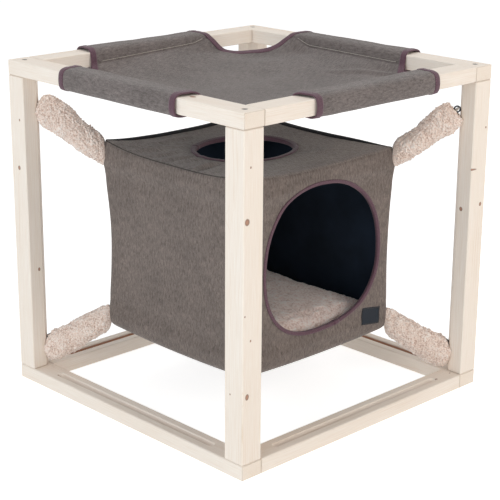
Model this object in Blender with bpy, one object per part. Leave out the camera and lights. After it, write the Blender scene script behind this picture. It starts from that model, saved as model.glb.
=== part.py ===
"""Cat hammock: a pine cube frame with a fabric sheet on top and a fabric house hung inside it.

Metres, +Z up. The origin is on the floor at the middle of the base, and the house's round
entrance faces -Y. Each object is one physical piece.
"""

import math

import bmesh
import bpy
from mathutils import Matrix, Vector

GAP = 0.0003  # clearance between pieces that touch

# Wooden frame
FRAME_SIDE = 0.500
FRAME_HEIGHT = 0.500
RAIL_WIDTH = 0.036
RAIL_HEIGHT = 0.022
POST_SIDE = 0.035
POST_CHAMFER = 0.011
WOOD_EDGE = 0.0012
GROOVE_LENGTH = 0.350
GROOVE_WIDTH = 0.012
GROOVE_DEPTH = 0.003

# Countersunk corner screws
SCREW_LENGTH = 0.050
SCREW_HEAD_RADIUS = 0.0042
SCREW_SHANK_RADIUS = 0.0020
SCREW_HEAD_HEIGHT = 0.0026
SCREW_SUNK = 0.0005
RECESS_REACH = 0.0022
RECESS_WIDTH = 0.0009
RECESS_DEPTH = 0.0018

# Screw eyes, by the height of the ring's centre
EYE_HEIGHTS = {"upper": 0.433, "lower": 0.067}
EYE_RING_RADIUS = 0.0044
EYE_WIRE_RADIUS = 0.0013
EYE_SHANK_LENGTH = 0.018

# Elastic cords inside the arms
CORD_RADIUS = 0.0018
LOOP_RING_RADIUS = 0.0036
LOOP_WIRE_RADIUS = 0.0013

# Hanging house
HOUSE_HALF = 0.150
HOUSE_TOP = 0.370
HOUSE_BOTTOM = 0.081
HOUSE_TOP_EDGE_RADIUS = 0.006
HOUSE_BOTTOM_EDGE_RADIUS = 0.014
CORNER_PULL = 0.0072
ROOF_CORNER_LIFT = 0.010
FLOOR_CORNER_LIFT = 0.006
FLOOR_SAG = 0.003
SHELL_THICKNESS = 0.0016
LINING_THICKNESS = 0.0010
BINDING_WIDTH = 0.006
BINDING_PROUD = 0.0013
ENTRANCE_CENTRE = (0.006, 0.231)
ENTRANCE_RADII = (0.1235, 0.1165)
ENTRANCE_FULLNESS = 2.15
ROOF_HOLE_RADIUS = 0.082
PIPING_RADIUS = 0.002
PIPING_CLEARANCE = 0.001
LABEL_CENTRE = (0.1115, 0.119)
LABEL_SIZE = (0.037, 0.025)
LABEL_THICKNESS = 0.0008
LABEL_CLEARANCE = 0.0007
LABEL_TURN_DEG = -10.5

# Cushion
CUSHION_HALF = 0.139
CUSHION_TOP = 0.127
CUSHION_CROWN = 0.008
CUSHION_DRAW_IN = 0.005
CUSHION_EDGE_RADIUS = 0.015
CUSHION_CLEARANCE = 0.0006

# Plush arms: share of the way out, height of the middle, half height, half width
ARM_SECTIONS = {
    "upper": ((0.0, 0.3620, 0.0200, 0.0165), (0.3, 0.3800, 0.0235, 0.0175), (0.6, 0.4010, 0.0245, 0.0180),
              (0.8, 0.4175, 0.0250, 0.0175), (0.93, 0.4215, 0.0215, 0.0160), (1.0, 0.4165, 0.0115, 0.0120)),
    "lower": ((0.0, 0.1065, 0.0180, 0.0165), (0.3, 0.0910, 0.0225, 0.0175), (0.6, 0.0700, 0.0250, 0.0180),
              (0.84, 0.0560, 0.0250, 0.0175), (1.0, 0.0525, 0.0225, 0.0135)),
}
ARM_OUTER_END = 0.2190
ARM_POCKET_RADIUS = 0.0065
ARM_POCKET_DEPTH = 0.0115

# Top hammock
CLOTH = 0.0012
TUNNEL_LOOSE = 0.0039
TUNNEL_INNER = 0.0020
TUNNEL_OUTER_RADIUS = 0.008
TUNNEL_INNER_RADIUS = 0.004
SEAM_HEIGHT = 0.489
SHEET_EDGE = 0.2095
SHEET_SAG = 0.030
CUT_OUT_RADIUS = 0.135
TAPE_WIDTH = 0.008
TAPE_THICKNESS = 0.0026

HALF = FRAME_SIDE / 2
RAIL_CENTRE = HALF - RAIL_WIDTH / 2
POST_CENTRE = HALF - POST_SIDE / 2
CHAMFER_FACE = HALF - POST_SIDE + POST_CHAMFER / 2
EYE_CENTRE = CHAMFER_FACE - (EYE_RING_RADIUS + EYE_WIRE_RADIUS) / math.sqrt(2)
HOUSE_MIDDLE = (HOUSE_TOP + HOUSE_BOTTOM) / 2
HOUSE_HALF_HEIGHT = (HOUSE_TOP - HOUSE_BOTTOM) / 2
WALL = SHELL_THICKNESS + GAP + LINING_THICKNESS
SIDES = {"left": -1, "right": 1}
ENDS = {"front": -1, "rear": 1}
CORNERS = [(end + "_" + side, ex, ey) for side, ex in SIDES.items() for end, ey in ENDS.items()]


def clear_scene():
    for thing in list(bpy.data.objects):
        bpy.data.objects.remove(thing, do_unlink=True)


def make_material(name, colour, roughness, metallic=0.0):
    made = bpy.data.materials.new(name)
    made.use_nodes = True
    shader = made.node_tree.nodes["Principled BSDF"]
    shader.inputs["Base Color"].default_value = (*colour, 1.0)
    shader.inputs["Roughness"].default_value = roughness
    shader.inputs["Metallic"].default_value = metallic
    return made


def add_object(name, bm, colour, roughness, metallic=0.0, smooth_deg=None):
    """Turn a bmesh into an object with its own material."""
    bmesh.ops.recalc_face_normals(bm, faces=bm.faces)
    mesh = bpy.data.meshes.new(name)
    bm.to_mesh(mesh)
    bm.free()
    if smooth_deg is not None:
        mesh.shade_smooth()
        mesh.set_sharp_from_angle(angle=math.radians(smooth_deg))
    thing = bpy.data.objects.new(name, mesh)
    bpy.context.scene.collection.objects.link(thing)
    thing.data.materials.append(make_material(name, colour, roughness, metallic))
    return thing


def add_cutter(name, bm):
    cutter = add_object(name, bm, (0.8, 0.2, 0.2), 0.5)
    cutter.hide_render = True
    cutter.display_type = "WIRE"
    return cutter


def combine(thing, other, operation="DIFFERENCE"):
    step = thing.modifiers.new(operation.lower() + "_" + other.name, "BOOLEAN")
    step.operation = operation
    step.solver = "EXACT"
    step.object = other


def soften_edges(thing, width, segments=1):
    step = thing.modifiers.new("soft_edges", "BEVEL")
    step.width = width
    step.segments = segments
    step.limit_method = "ANGLE"
    step.angle_limit = math.radians(30)


def box(low, high):
    bm = bmesh.new()
    size = Vector(high) - Vector(low)
    middle = (Vector(high) + Vector(low)) / 2
    bmesh.ops.create_cube(bm, size=1.0, matrix=Matrix.Translation(middle) @ Matrix.Diagonal((*size, 1.0)))
    return bm


def skin(rings, closed=False):
    """Join rings of points into one solid, capped at both ends unless the rings close on themselves."""
    bm = bmesh.new()
    rows = [[bm.verts.new(point) for point in ring] for ring in rings]
    count = len(rows[0])
    pairs = list(zip(rows, rows[1:]))
    if closed:
        pairs.append((rows[-1], rows[0]))
    for first, second in pairs:
        for i in range(count):
            j = (i + 1) % count
            bm.faces.new((first[i], first[j], second[j], second[i]))
    if not closed:
        bm.faces.new(rows[0][::-1])
        bm.faces.new(rows[-1])
    return bm


def prism(outline, low, high, place):
    """Extrude a flat outline: place turns (u, v, distance along the axis) into a point."""
    return skin([[place(u, v, along) for u, v in outline] for along in (low, high)])


def turned(profile, sides=10):
    """Solid of revolution about Z from (radius, height) pairs, with a point or a flat at each end."""
    rings = []
    for radius, height in profile:
        turn = [2 * math.pi * i / sides for i in range(sides)]
        rings.append([(radius * math.cos(a), radius * math.sin(a), height) for a in turn])
    return skin(rings)


def torus(ring_radius, wire_radius, ring_steps=14, wire_steps=6):
    """Ring about Z."""
    rings = []
    for i in range(ring_steps):
        turn = 2 * math.pi * i / ring_steps
        ring = []
        for j in range(wire_steps):
            roll = 2 * math.pi * j / wire_steps
            reach = ring_radius + wire_radius * math.cos(roll)
            ring.append((reach * math.cos(turn), reach * math.sin(turn), wire_radius * math.sin(roll)))
        rings.append(ring)
    return skin(rings, closed=True)


def frame_along(start, direction, up=(0, 0, 1)):
    """Matrix that puts local Z along a direction and local X square to it and to up."""
    forward = Vector(direction).normalized()
    across = Vector(up).cross(forward).normalized()
    return Matrix.Translation(start) @ Matrix((across, forward.cross(across), forward)).transposed().to_4x4()


# Wood

WOOD = (0.80, 0.70, 0.56)


def add_rail(name, low, high, cutters):
    rail = add_object(name, box(low, high), WOOD, 0.6)
    soften_edges(rail, WOOD_EDGE)
    for cutter in cutters:
        combine(rail, cutter)
    return rail


def groove_cutter(name, centre, along_x):
    """Round-bottomed stopped groove: a rod with ball ends, sunk to the groove's depth."""
    radius = (GROOVE_WIDTH ** 2 / 4 + GROOVE_DEPTH ** 2) / (2 * GROOVE_DEPTH)
    reach = GROOVE_LENGTH / 2 - GROOVE_WIDTH / 2
    quarter = [math.pi / 2 * i / 4 for i in range(5)]
    profile = [(radius * math.sin(a) + 1e-5, -reach - radius * math.cos(a)) for a in quarter]
    profile += [(radius * math.cos(a) + 1e-5, reach + radius * math.sin(a)) for a in quarter]
    bm = turned(profile, 20)
    middle = Vector((*centre, RAIL_HEIGHT + radius - GROOVE_DEPTH))
    direction = (1, 0, 0) if along_x else (0, 1, 0)
    bm.transform(frame_along(middle, direction))
    return add_cutter(name, bm)


def add_rail_ring(level, low_z, screws):
    """Four rails: the left and right ones run through, the front and rear ones fit between them."""
    high_z = low_z + RAIL_HEIGHT
    inner = HALF - RAIL_WIDTH
    for side, ex in SIDES.items():
        edges = sorted((ex * inner, ex * HALF))
        cutters = [screws[end + "_" + side] for end in ENDS]
        if level == "base":
            cutters.append(groove_cutter("groove_" + side, (ex * RAIL_CENTRE, 0), False))
        add_rail(level + "_rail_" + side, (edges[0], -HALF, low_z), (edges[1], HALF, high_z), cutters)
    for end, ey in ENDS.items():
        edges = sorted((ey * inner, ey * HALF))
        cutters = []
        if level == "base":
            cutters.append(groove_cutter("groove_" + end, (0, ey * RAIL_CENTRE), True))
        low = (GAP - inner, edges[0], low_z)
        high = (inner - GAP, edges[1], high_z)
        add_rail(level + "_rail_" + end, low, high, cutters)


def add_post(corner, ex, ey, cutters):
    """Square post whose corner towards the house is chamfered."""
    outer, inner, cut = HALF, HALF - POST_SIDE, HALF - POST_SIDE + POST_CHAMFER
    outline = [(outer, outer), (inner, outer), (inner, cut), (cut, inner), (outer, inner)]

    def place(u, v, along):
        return (ex * u, ey * v, along)

    bm = prism(outline, RAIL_HEIGHT + GAP, FRAME_HEIGHT - RAIL_HEIGHT - GAP, place)
    post = add_object("post_" + corner, bm, WOOD, 0.6)
    soften_edges(post, WOOD_EDGE)
    for cutter in cutters:
        combine(post, cutter)


# Metal

def screw_profile(grow):
    """Countersunk screw, head up at height 0, as (radius, height) pairs."""
    head, shank = SCREW_HEAD_RADIUS + grow, SCREW_SHANK_RADIUS + grow
    tip = SCREW_LENGTH + grow
    top = 0.002 if grow else 0.0
    return [(head, top), (head, -0.0004), (shank, -0.0004 - SCREW_HEAD_HEIGHT),
            (shank, 0.007 - tip), (0.0004, -tip)]


def corner_screw_matrix(level, ex, ey):
    if level == "top":
        return Matrix.Translation((ex * POST_CENTRE, ey * POST_CENTRE, FRAME_HEIGHT - SCREW_SUNK))
    flip = Matrix.Rotation(math.pi, 4, "X")
    return Matrix.Translation((ex * POST_CENTRE, ey * POST_CENTRE, SCREW_SUNK)) @ flip


def add_corner_screw(level, corner, ex, ey):
    """A screw with a cross recess; returns the cutter of its hole."""
    where = corner_screw_matrix(level, ex, ey)
    bm = turned(screw_profile(0.0), 12)
    bm.transform(where)
    screw = add_object(level + "_screw_" + corner, bm, (0.62, 0.62, 0.60), 0.35, 1.0, smooth_deg=35)
    long, half = RECESS_REACH, RECESS_WIDTH / 2
    arm = [(long, -half), (long, half), (half, half), (half, long), (-half, long), (-half, half),
           (-long, half), (-long, -half), (-half, -half), (-half, -long), (half, -long), (half, -half)]
    bm = prism(arm, -RECESS_DEPTH, 0.002, lambda u, v, along: (u, v, along))
    bm.transform(where)
    combine(screw, add_cutter("recess_" + level + "_" + corner, bm))
    bm = turned(screw_profile(GAP), 12)
    bm.transform(where)
    return add_cutter("screw_hole_" + level + "_" + corner, bm)


def corner_frame(ex, ey, reach, height):
    """Frame on a corner's diagonal: local X points outwards, local Y level across, local Z up."""
    out = Vector((ex, ey, 0)).normalized()
    across = Vector((0, 0, 1)).cross(out)
    turn = Matrix((out, across, Vector((0, 0, 1)))).transposed().to_4x4()
    return Matrix.Translation((ex * reach, ey * reach, height)) @ turn


def add_screw_eye(level, corner, ex, ey):
    """Ring that stands upright on the corner's diagonal, with its shank driven into the post."""
    where = corner_frame(ex, ey, EYE_CENTRE, EYE_HEIGHTS[level])
    bm = torus(EYE_RING_RADIUS, EYE_WIRE_RADIUS)
    bm.transform(where @ Matrix.Rotation(math.pi / 2, 4, "X"))
    eye = add_object(level + "_eye_" + corner, bm, (0.30, 0.30, 0.31), 0.3, 1.0, smooth_deg=60)
    along_x = Matrix.Rotation(math.pi / 2, 4, "Y")
    end = EYE_RING_RADIUS + EYE_SHANK_LENGTH
    radius = EYE_WIRE_RADIUS
    profile = [(radius, EYE_RING_RADIUS), (radius, end - 0.004), (0.0003, end)]
    bm = turned(profile, 8)
    bm.transform(where @ along_x)
    shank = add_cutter("shank_" + level + "_" + corner, bm)
    combine(eye, shank, "UNION")
    hole = radius + GAP
    bm = turned([(hole, 0.001), (hole, end - 0.004), (0.0006, end + 2 * GAP)], 8)
    bm.transform(where @ along_x)
    return add_cutter("eye_hole_" + level + "_" + corner, bm)


# Hanging house

def house_edge_radius(c):
    share = (c + 1) / 2
    return HOUSE_BOTTOM_EDGE_RADIUS + (HOUSE_TOP_EDGE_RADIUS - HOUSE_BOTTOM_EDGE_RADIUS) * share


def corner_pull(w):
    """How far the arms draw a wall's ends out, by height from -1 to 1: most at the arms' own height."""
    return CORNER_PULL * 1.45 * w ** 2 * (1 - 0.72 * w ** 8)


def house_rise(u, v, w):
    """Lift towards the corners of the roof and the floor, less the floor's sag."""
    share = (w + 1) / 2
    lift = FLOOR_CORNER_LIFT + (ROOF_CORNER_LIFT - FLOOR_CORNER_LIFT) * share
    return lift * (u * v) ** 2 - FLOOR_SAG * (1 - share) * (1 - u * u) * (1 - v * v)


def house_point(a, b, c, inset=0.0):
    """Point of the house's surface from a point (a, b, c) of the cube from -1 to 1.

    The box has rounded edges. Its corners are pulled out by the arms, the roof and the floor
    rise towards the corners, and the floor sags a little in the middle.
    """
    half = Vector((HOUSE_HALF - inset, HOUSE_HALF - inset, HOUSE_HALF_HEIGHT - inset))
    radius = house_edge_radius(c)
    point = Vector((a * half.x, b * half.y, c * half.z))
    core = Vector([max(radius - h, min(h - radius, value)) for h, value in zip(half, point)])
    point = core + (point - core).normalized() * radius
    u, v, w = point.x / half.x, point.y / half.y, point.z / half.z
    x = point.x + corner_pull(w) * u * v * v
    y = point.y + corner_pull(w) * v * u * u
    return Vector((x, y, HOUSE_MIDDLE + point.z + house_rise(u, v, w)))


def front_wall_y(x, z):
    return -HOUSE_HALF - corner_pull((z - HOUSE_MIDDLE) / HOUSE_HALF_HEIGHT) * (x / HOUSE_HALF) ** 2


def roof_z(x, y):
    return HOUSE_TOP + house_rise(x / HOUSE_HALF, y / HOUSE_HALF, 1)


def floor_z(x, y):
    """Top of the lining's floor."""
    return HOUSE_BOTTOM + WALL + house_rise(x / HOUSE_HALF, y / HOUSE_HALF, -1)


def cube_grid(bm, steps, place, inward=False):
    """Triangles over all six sides of a cube, each lattice point placed by a function."""
    last = len(steps) - 1
    made = {}

    def vertex(i, j, k):
        if (i, j, k) not in made:
            made[(i, j, k)] = bm.verts.new(place(steps[i], steps[j], steps[k]))
        return made[(i, j, k)]

    for axis in range(3):
        for level in (0, last):
            backwards = [level == 0, inward, axis == 1].count(True) % 2 == 1
            for i in range(last):
                for j in range(last):
                    cell = [(i, j), (i + 1, j), (i + 1, j + 1), (i, j + 1)]
                    if (2 * i + 1 - last) * (2 * j + 1 - last) < 0:
                        cell = cell[1:] + cell[:1]
                    for triangle in (cell[:3], [cell[2], cell[3], cell[0]]):
                        lattice = [[*pair[:axis], level, *pair[axis:]] for pair in triangle]
                        if backwards:
                            lattice.reverse()
                        bm.faces.new([vertex(*index) for index in lattice])


HOUSE_STEPS = (-1.0, -0.96, -0.82, -0.45, 0.0, 0.45, 0.82, 0.96, 1.0)


def hollow_house(name, outer, inner, colour, roughness, cutters):
    """Thin closed wall between two insets, opened by the entrance and the roof hole."""
    bm = bmesh.new()
    cube_grid(bm, HOUSE_STEPS, lambda a, b, c: house_point(a, b, c, outer))
    cube_grid(bm, HOUSE_STEPS, lambda a, b, c: house_point(a, b, c, inner), inward=True)
    mesh = bpy.data.meshes.new(name)
    bm.to_mesh(mesh)
    bm.free()
    mesh.shade_smooth()
    mesh.set_sharp_from_angle(angle=math.radians(50))
    wall = bpy.data.objects.new(name, mesh)
    bpy.context.scene.collection.objects.link(wall)
    wall.data.materials.append(make_material(name, colour, roughness))
    for cutter in cutters:
        combine(wall, cutter)


def entrance_outline(offset, steps=40):
    """Slightly squared oval of the entrance, grown or shrunk by an offset, as (x, z) points."""
    power = 2 / ENTRANCE_FULLNESS
    points = []
    for i in range(steps):
        turn = 2 * math.pi * i / steps
        cosine, sine = math.cos(turn), math.sin(turn)
        x = math.copysign(abs(cosine) ** power, cosine) * (ENTRANCE_RADII[0] + offset)
        z = math.copysign(abs(sine) ** power, sine) * (ENTRANCE_RADII[1] + offset)
        points.append((ENTRANCE_CENTRE[0] + x, ENTRANCE_CENTRE[1] + z))
    return points


def circle_outline(radius, steps=32):
    turns = [2 * math.pi * i / steps for i in range(steps)]
    return [(radius * math.cos(a), radius * math.sin(a)) for a in turns]


def binding_section():
    """Rounded tape wrapped over the cloth's edge, as (share of the width, depth) pairs."""
    low, high = -BINDING_PROUD, WALL + BINDING_PROUD
    return [(0.0, 0.5), (0.12, 0.0), (1.0, 0.0), (1.0, 1.0), (0.12, 1.0)], low, high


def add_entrance_binding():
    section, low, high = binding_section()
    inner, outer = entrance_outline(-BINDING_WIDTH), entrance_outline(0.0)
    rings = []
    for (xi, zi), (xo, zo) in zip(inner, outer):
        ring = []
        for share, depth in section:
            x, z = xi + (xo - xi) * share, zi + (zo - zi) * share
            ring.append((x, front_wall_y(x, z) + low + (high - low) * depth, z))
        rings.append(ring)
    add_object("entrance_binding", skin(rings, closed=True), (0.17, 0.085, 0.115), 0.8, smooth_deg=50)


def add_roof_binding():
    section, low, high = binding_section()
    inner = circle_outline(ROOF_HOLE_RADIUS - BINDING_WIDTH)
    outer = circle_outline(ROOF_HOLE_RADIUS)
    rings = []
    for (xi, yi), (xo, yo) in zip(inner, outer):
        ring = []
        for share, depth in section:
            x, y = xi + (xo - xi) * share, yi + (yo - yi) * share
            ring.append((x, y, roof_z(x, y) - low - (high - low) * depth))
        rings.append(ring)
    add_object("roof_binding", skin(rings, closed=True), (0.17, 0.085, 0.115), 0.8, smooth_deg=50)


def add_roof_piping():
    """Corded seam along the rear and right edges of the roof, just proud of the shell."""
    along = [step for step in HOUSE_STEPS if abs(step) < 0.9]
    route = [(t, 1, 0, 1) for t in [-0.96] + along] + [(1, 1, 1, 1)]
    route += [(1, t, 1, 0) for t in along[::-1] + [-0.96]]
    points = []
    for a, b, out_x, out_y in route:
        outward = Vector((out_x, out_y, 1)).normalized()
        points.append(house_point(a, b, 1) + outward * (PIPING_RADIUS + PIPING_CLEARANCE))
    rings = []
    for i, point in enumerate(points):
        before, after = points[max(i - 1, 0)], points[min(i + 1, len(points) - 1)]
        across = frame_along(point, after - before)
        turns = [2 * math.pi * j / 6 for j in range(6)]
        rings.append([across @ Vector((PIPING_RADIUS * math.cos(a), PIPING_RADIUS * math.sin(a), 0))
                      for a in turns])
    add_object("roof_piping", skin(rings), (0.012, 0.012, 0.013), 0.85, smooth_deg=50)


def add_label():
    """Bare woven patch that follows the front wall."""
    turn = math.radians(LABEL_TURN_DEG)
    columns, rows = 3, 2
    bm = bmesh.new()
    layers = []
    for depth in (LABEL_CLEARANCE, LABEL_CLEARANCE + LABEL_THICKNESS):
        layer = []
        for i in range(columns + 1):
            column = []
            for j in range(rows + 1):
                u = (i / columns - 0.5) * LABEL_SIZE[0]
                v = (j / rows - 0.5) * LABEL_SIZE[1]
                x = LABEL_CENTRE[0] + u * math.cos(turn) - v * math.sin(turn)
                z = LABEL_CENTRE[1] + u * math.sin(turn) + v * math.cos(turn)
                column.append(bm.verts.new((x, front_wall_y(x, z) - depth, z)))
            layer.append(column)
        layers.append(layer)
    back, face = layers
    for i in range(columns):
        for j in range(rows):
            bm.faces.new((face[i][j], face[i + 1][j], face[i + 1][j + 1], face[i][j + 1]))
            bm.faces.new((back[i][j], back[i][j + 1], back[i + 1][j + 1], back[i + 1][j]))
    rim = [(i, 0) for i in range(columns)] + [(columns, j) for j in range(rows)]
    rim += [(i, rows) for i in range(columns, 0, -1)] + [(0, j) for j in range(rows, 0, -1)]
    for (i, j), (m, n) in zip(rim, rim[1:] + rim[:1]):
        bm.faces.new((back[i][j], back[m][n], face[m][n], face[i][j]))
    add_object("house_label", bm, (0.045, 0.065, 0.09), 0.7)


def cushion_point(a, b, c):
    """Crowned pillow with drawn-in sides whose underside lies on the sagging floor."""
    reach, radius = CUSHION_HALF, CUSHION_EDGE_RADIUS
    base = HOUSE_BOTTOM + WALL
    half_height = (CUSHION_TOP - base) / 2
    half = Vector((reach, reach, half_height))
    point = Vector((a * reach, b * reach, c * half_height))
    core = Vector([max(radius - h, min(h - radius, value)) for h, value in zip(half, point)])
    point = core + (point - core).normalized() * radius
    u, v = point.x / reach, point.y / reach
    x = point.x - CUSHION_DRAW_IN * u * (1 - v * v)
    y = point.y - CUSHION_DRAW_IN * v * (1 - u * u)
    share = (point.z / half_height + 1) / 2
    crown = CUSHION_CROWN * (1 - u ** 4) * (1 - v ** 4)
    under = floor_z(x, y) - base + CUSHION_CLEARANCE
    return Vector((x, y, base + half_height + point.z + crown * share + under * (1 - share)))


def add_cushion():
    bm = bmesh.new()
    steps = (-1.0, -0.94, -0.78, -0.35, 0.35, 0.78, 0.94, 1.0)
    cube_grid(bm, steps, cushion_point)
    add_object("cushion", bm, (0.42, 0.33, 0.27), 0.95, smooth_deg=60)


# Arms and cords

def arm_inner_end(level):
    """Reach of the house's corner over an arm's height, plus a little clearance."""
    middle, half = ARM_SECTIONS[level][0][1:3]
    heights = [middle + half * i / 4 for i in range(-4, 5)]
    steps = [(height - HOUSE_MIDDLE) / HOUSE_HALF_HEIGHT for height in heights]
    return max(house_point(1, 1, max(-1, min(1, c))).x for c in steps) + 2 * GAP


def add_cord(level, corner, ex, ey):
    """Elastic cord with a sewn loop through the screw eye, running to the house's corner."""
    reach, height = arm_inner_end(level), ARM_SECTIONS[level][0][1]
    eye = Vector((ex * EYE_CENTRE, ey * EYE_CENTRE, EYE_HEIGHTS[level]))
    end = Vector((ex * reach, ey * reach, height))
    pull = (end - eye).normalized()
    near = EYE_RING_RADIUS - EYE_WIRE_RADIUS - GAP - LOOP_WIRE_RADIUS
    centre = eye + pull * (near + LOOP_RING_RADIUS)
    level_across = Vector((-ey, ex, 0)).normalized()
    turn = Matrix((pull, level_across, pull.cross(level_across))).transposed().to_4x4()
    bm = torus(LOOP_RING_RADIUS, LOOP_WIRE_RADIUS, 12, 6)
    bm.transform(Matrix.Translation(centre) @ turn)
    name = level + "_cord_" + corner
    cord = add_object(name, bm, (0.75, 0.72, 0.66), 0.8, smooth_deg=60)
    start = centre + pull * LOOP_RING_RADIUS
    length = (end - start).length
    bm = turned([(CORD_RADIUS, 0), (CORD_RADIUS, length)], 8)
    bm.transform(frame_along(start, pull))
    combine(cord, add_cutter("rod_" + level + "_" + corner, bm), "UNION")
    bore, pocket = CORD_RADIUS + 2 * GAP, ARM_POCKET_RADIUS
    distance = (end - eye).length
    bm = turned([(pocket, -0.015), (pocket, ARM_POCKET_DEPTH), (bore, ARM_POCKET_DEPTH + 0.001),
                 (bore, distance + 0.02)], 10)
    bm.transform(frame_along(eye, pull))
    return add_cutter("bore_" + level + "_" + corner, bm)


def add_arm(level, corner, ex, ey, bore):
    """Plush sleeve over the cord: upright oval sections along the corner's diagonal."""
    inner = arm_inner_end(level)
    out = Vector((ex, ey, 0)).normalized()
    across = Vector((0, 0, 1)).cross(out)
    rings = []
    for share, height, half_height, half_width in ARM_SECTIONS[level]:
        reach = inner + (ARM_OUTER_END - inner) * share
        centre = Vector((ex * reach, ey * reach, height))
        ring = []
        for i in range(12):
            turn = 2 * math.pi * i / 12
            ring.append(centre + across * (half_width * math.cos(turn))
                        + Vector((0, 0, half_height * math.sin(turn))))
        rings.append(ring)
    arm = add_object(level + "_arm_" + corner, skin(rings), (0.62, 0.50, 0.40), 0.95, smooth_deg=50)
    combine(arm, bore)


# Top hammock

def rail_fold():
    """Middle of the cloth round the right rail, from the seam over the rail and back below the seam.

    Each point is (distance out, height).
    """
    inner, outer = HALF - RAIL_WIDTH - TUNNEL_INNER, HALF + TUNNEL_LOOSE
    low, high = FRAME_HEIGHT - RAIL_HEIGHT - TUNNEL_LOOSE, FRAME_HEIGHT + TUNNEL_LOOSE
    small, large = TUNNEL_INNER_RADIUS, TUNNEL_OUTER_RADIUS
    arcs = ((inner + small, high - small, 180, small), (outer - large, high - large, 90, large),
            (outer - large, low + large, 0, large), (inner + small, low + small, -90, small))
    points = [(SHEET_EDGE, SEAM_HEIGHT)]
    for x, z, start, radius in arcs:
        for i in range(3):
            turn = math.radians(start - 45 * i)
            points.append((x + radius * math.cos(turn), z + radius * math.sin(turn)))
    points.append((SHEET_EDGE + 0.0013, SEAM_HEIGHT - 0.0025))
    return points


def fold_normals(points):
    """Unit normals on the outside of the fold; the first one also suits the sheet's own slope."""
    normals = []
    for i, point in enumerate(points):
        before, after = points[max(i - 1, 0)], points[min(i + 1, len(points) - 1)]
        normals.append(Vector((before[1] - after[1], after[0] - before[0])).normalized())
    normals[0] = Vector((-0.755, 0.656)).normalized()
    return normals


def cut_out_end(out, radius):
    """Distance along a rail from its middle to the corner cut-out, at a distance out from the centre."""
    return HALF - math.sqrt(radius ** 2 - (HALF - min(out, HALF)) ** 2)


def cut_out_arc(radius, steps):
    """Circle about the rear right corner of the frame, from the right seam to the rear seam."""
    start = math.asin((HALF - SHEET_EDGE) / radius)
    points = []
    for i in range(steps + 1):
        turn = start + (math.pi / 2 - 2 * start) * i / steps
        points.append((HALF - radius * math.sin(turn), HALF - radius * math.cos(turn)))
    return points


def sheet_z(x, y):
    u, v = min(1.0, abs(x) / SHEET_EDGE), min(1.0, abs(y) / SHEET_EDGE)
    return SEAM_HEIGHT - SHEET_SAG * (1 - u ** 3) * (1 - v ** 3)


def add_strip(bm, first, second):
    for i in range(len(first) - 1):
        bm.faces.new((first[i], first[i + 1], second[i + 1], second[i]))


SIDE_SHARES = (-1.0, -0.5, 0.0, 0.5, 1.0)
ARC_STEPS = 8


def add_sheet():
    """Sagging sheet with hollow corners, its four flaps folded round the top rails."""
    radius = CUT_OUT_RADIUS + TAPE_WIDTH + GAP
    arc = cut_out_arc(radius, ARC_STEPS)[1:-1]
    fold = rail_fold()
    normals = fold_normals(fold)
    straight = cut_out_end(SHEET_EDGE, radius)
    quarter_rim = [(SHEET_EDGE, straight * share, normals[0]) for share in SIDE_SHARES]
    quarter_rim += [(x, y, Vector((0, 1))) for x, y in arc]
    turns = ((1, 0), (0, 1), (-1, 0), (0, -1))
    bm = bmesh.new()
    layers = []
    for side in (CLOTH / 2, -CLOTH / 2):
        rings = []
        for scale in (1.0, 0.9, 0.75, 0.5, 0.25):
            ring = []
            for cosine, sine in turns:
                for x, y, normal in quarter_rim:
                    height = sheet_z(x * scale, y * scale)
                    if scale < 1:
                        normal = Vector((0, 1))
                    px, py = x * scale + normal.x * side, y * scale
                    point = (px * cosine - py * sine, px * sine + py * cosine, height + normal.y * side)
                    ring.append(bm.verts.new(point))
            rings.append(ring)
        hub = bm.verts.new((0, 0, sheet_z(0, 0) + side))
        for first, second in zip(rings, rings[1:]):
            add_strip(bm, first + first[:1], second + second[:1])
        for i, vert in enumerate(rings[-1]):
            bm.faces.new((vert, rings[-1][(i + 1) % len(rings[-1])], hub))
        layers.append(rings[0])
    top, bottom = layers
    columns, count = len(SIDE_SHARES), len(quarter_rim)
    for turn, (cosine, sine) in enumerate(turns):
        first = turn * count
        edge = [(first + i) % len(top) for i in range(columns - 1, count + 1)]
        add_strip(bm, [top[i] for i in edge], [bottom[i] for i in edge])
        rows = [(top[first:first + columns], bottom[first:first + columns])]
        for (out, height), normal in list(zip(fold, normals))[1:]:
            reach = cut_out_end(out, radius)
            pair = []
            for side in (CLOTH / 2, -CLOTH / 2):
                x, z = out + normal.x * side, height + normal.y * side
                pair.append([bm.verts.new((x * cosine - reach * share * sine,
                                           x * sine + reach * share * cosine, z))
                             for share in SIDE_SHARES])
            rows.append(pair)
        for (near_top, near_low), (far_top, far_low) in zip(rows, rows[1:]):
            add_strip(bm, near_top, far_top)
            add_strip(bm, near_low, far_low)
            for end in (0, -1):
                bm.faces.new((near_top[end], far_top[end], far_low[end], near_low[end]))
        add_strip(bm, rows[-1][0], rows[-1][1])
    add_object("hammock_sheet", bm, (0.23, 0.20, 0.185), 0.9, smooth_deg=40)


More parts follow.
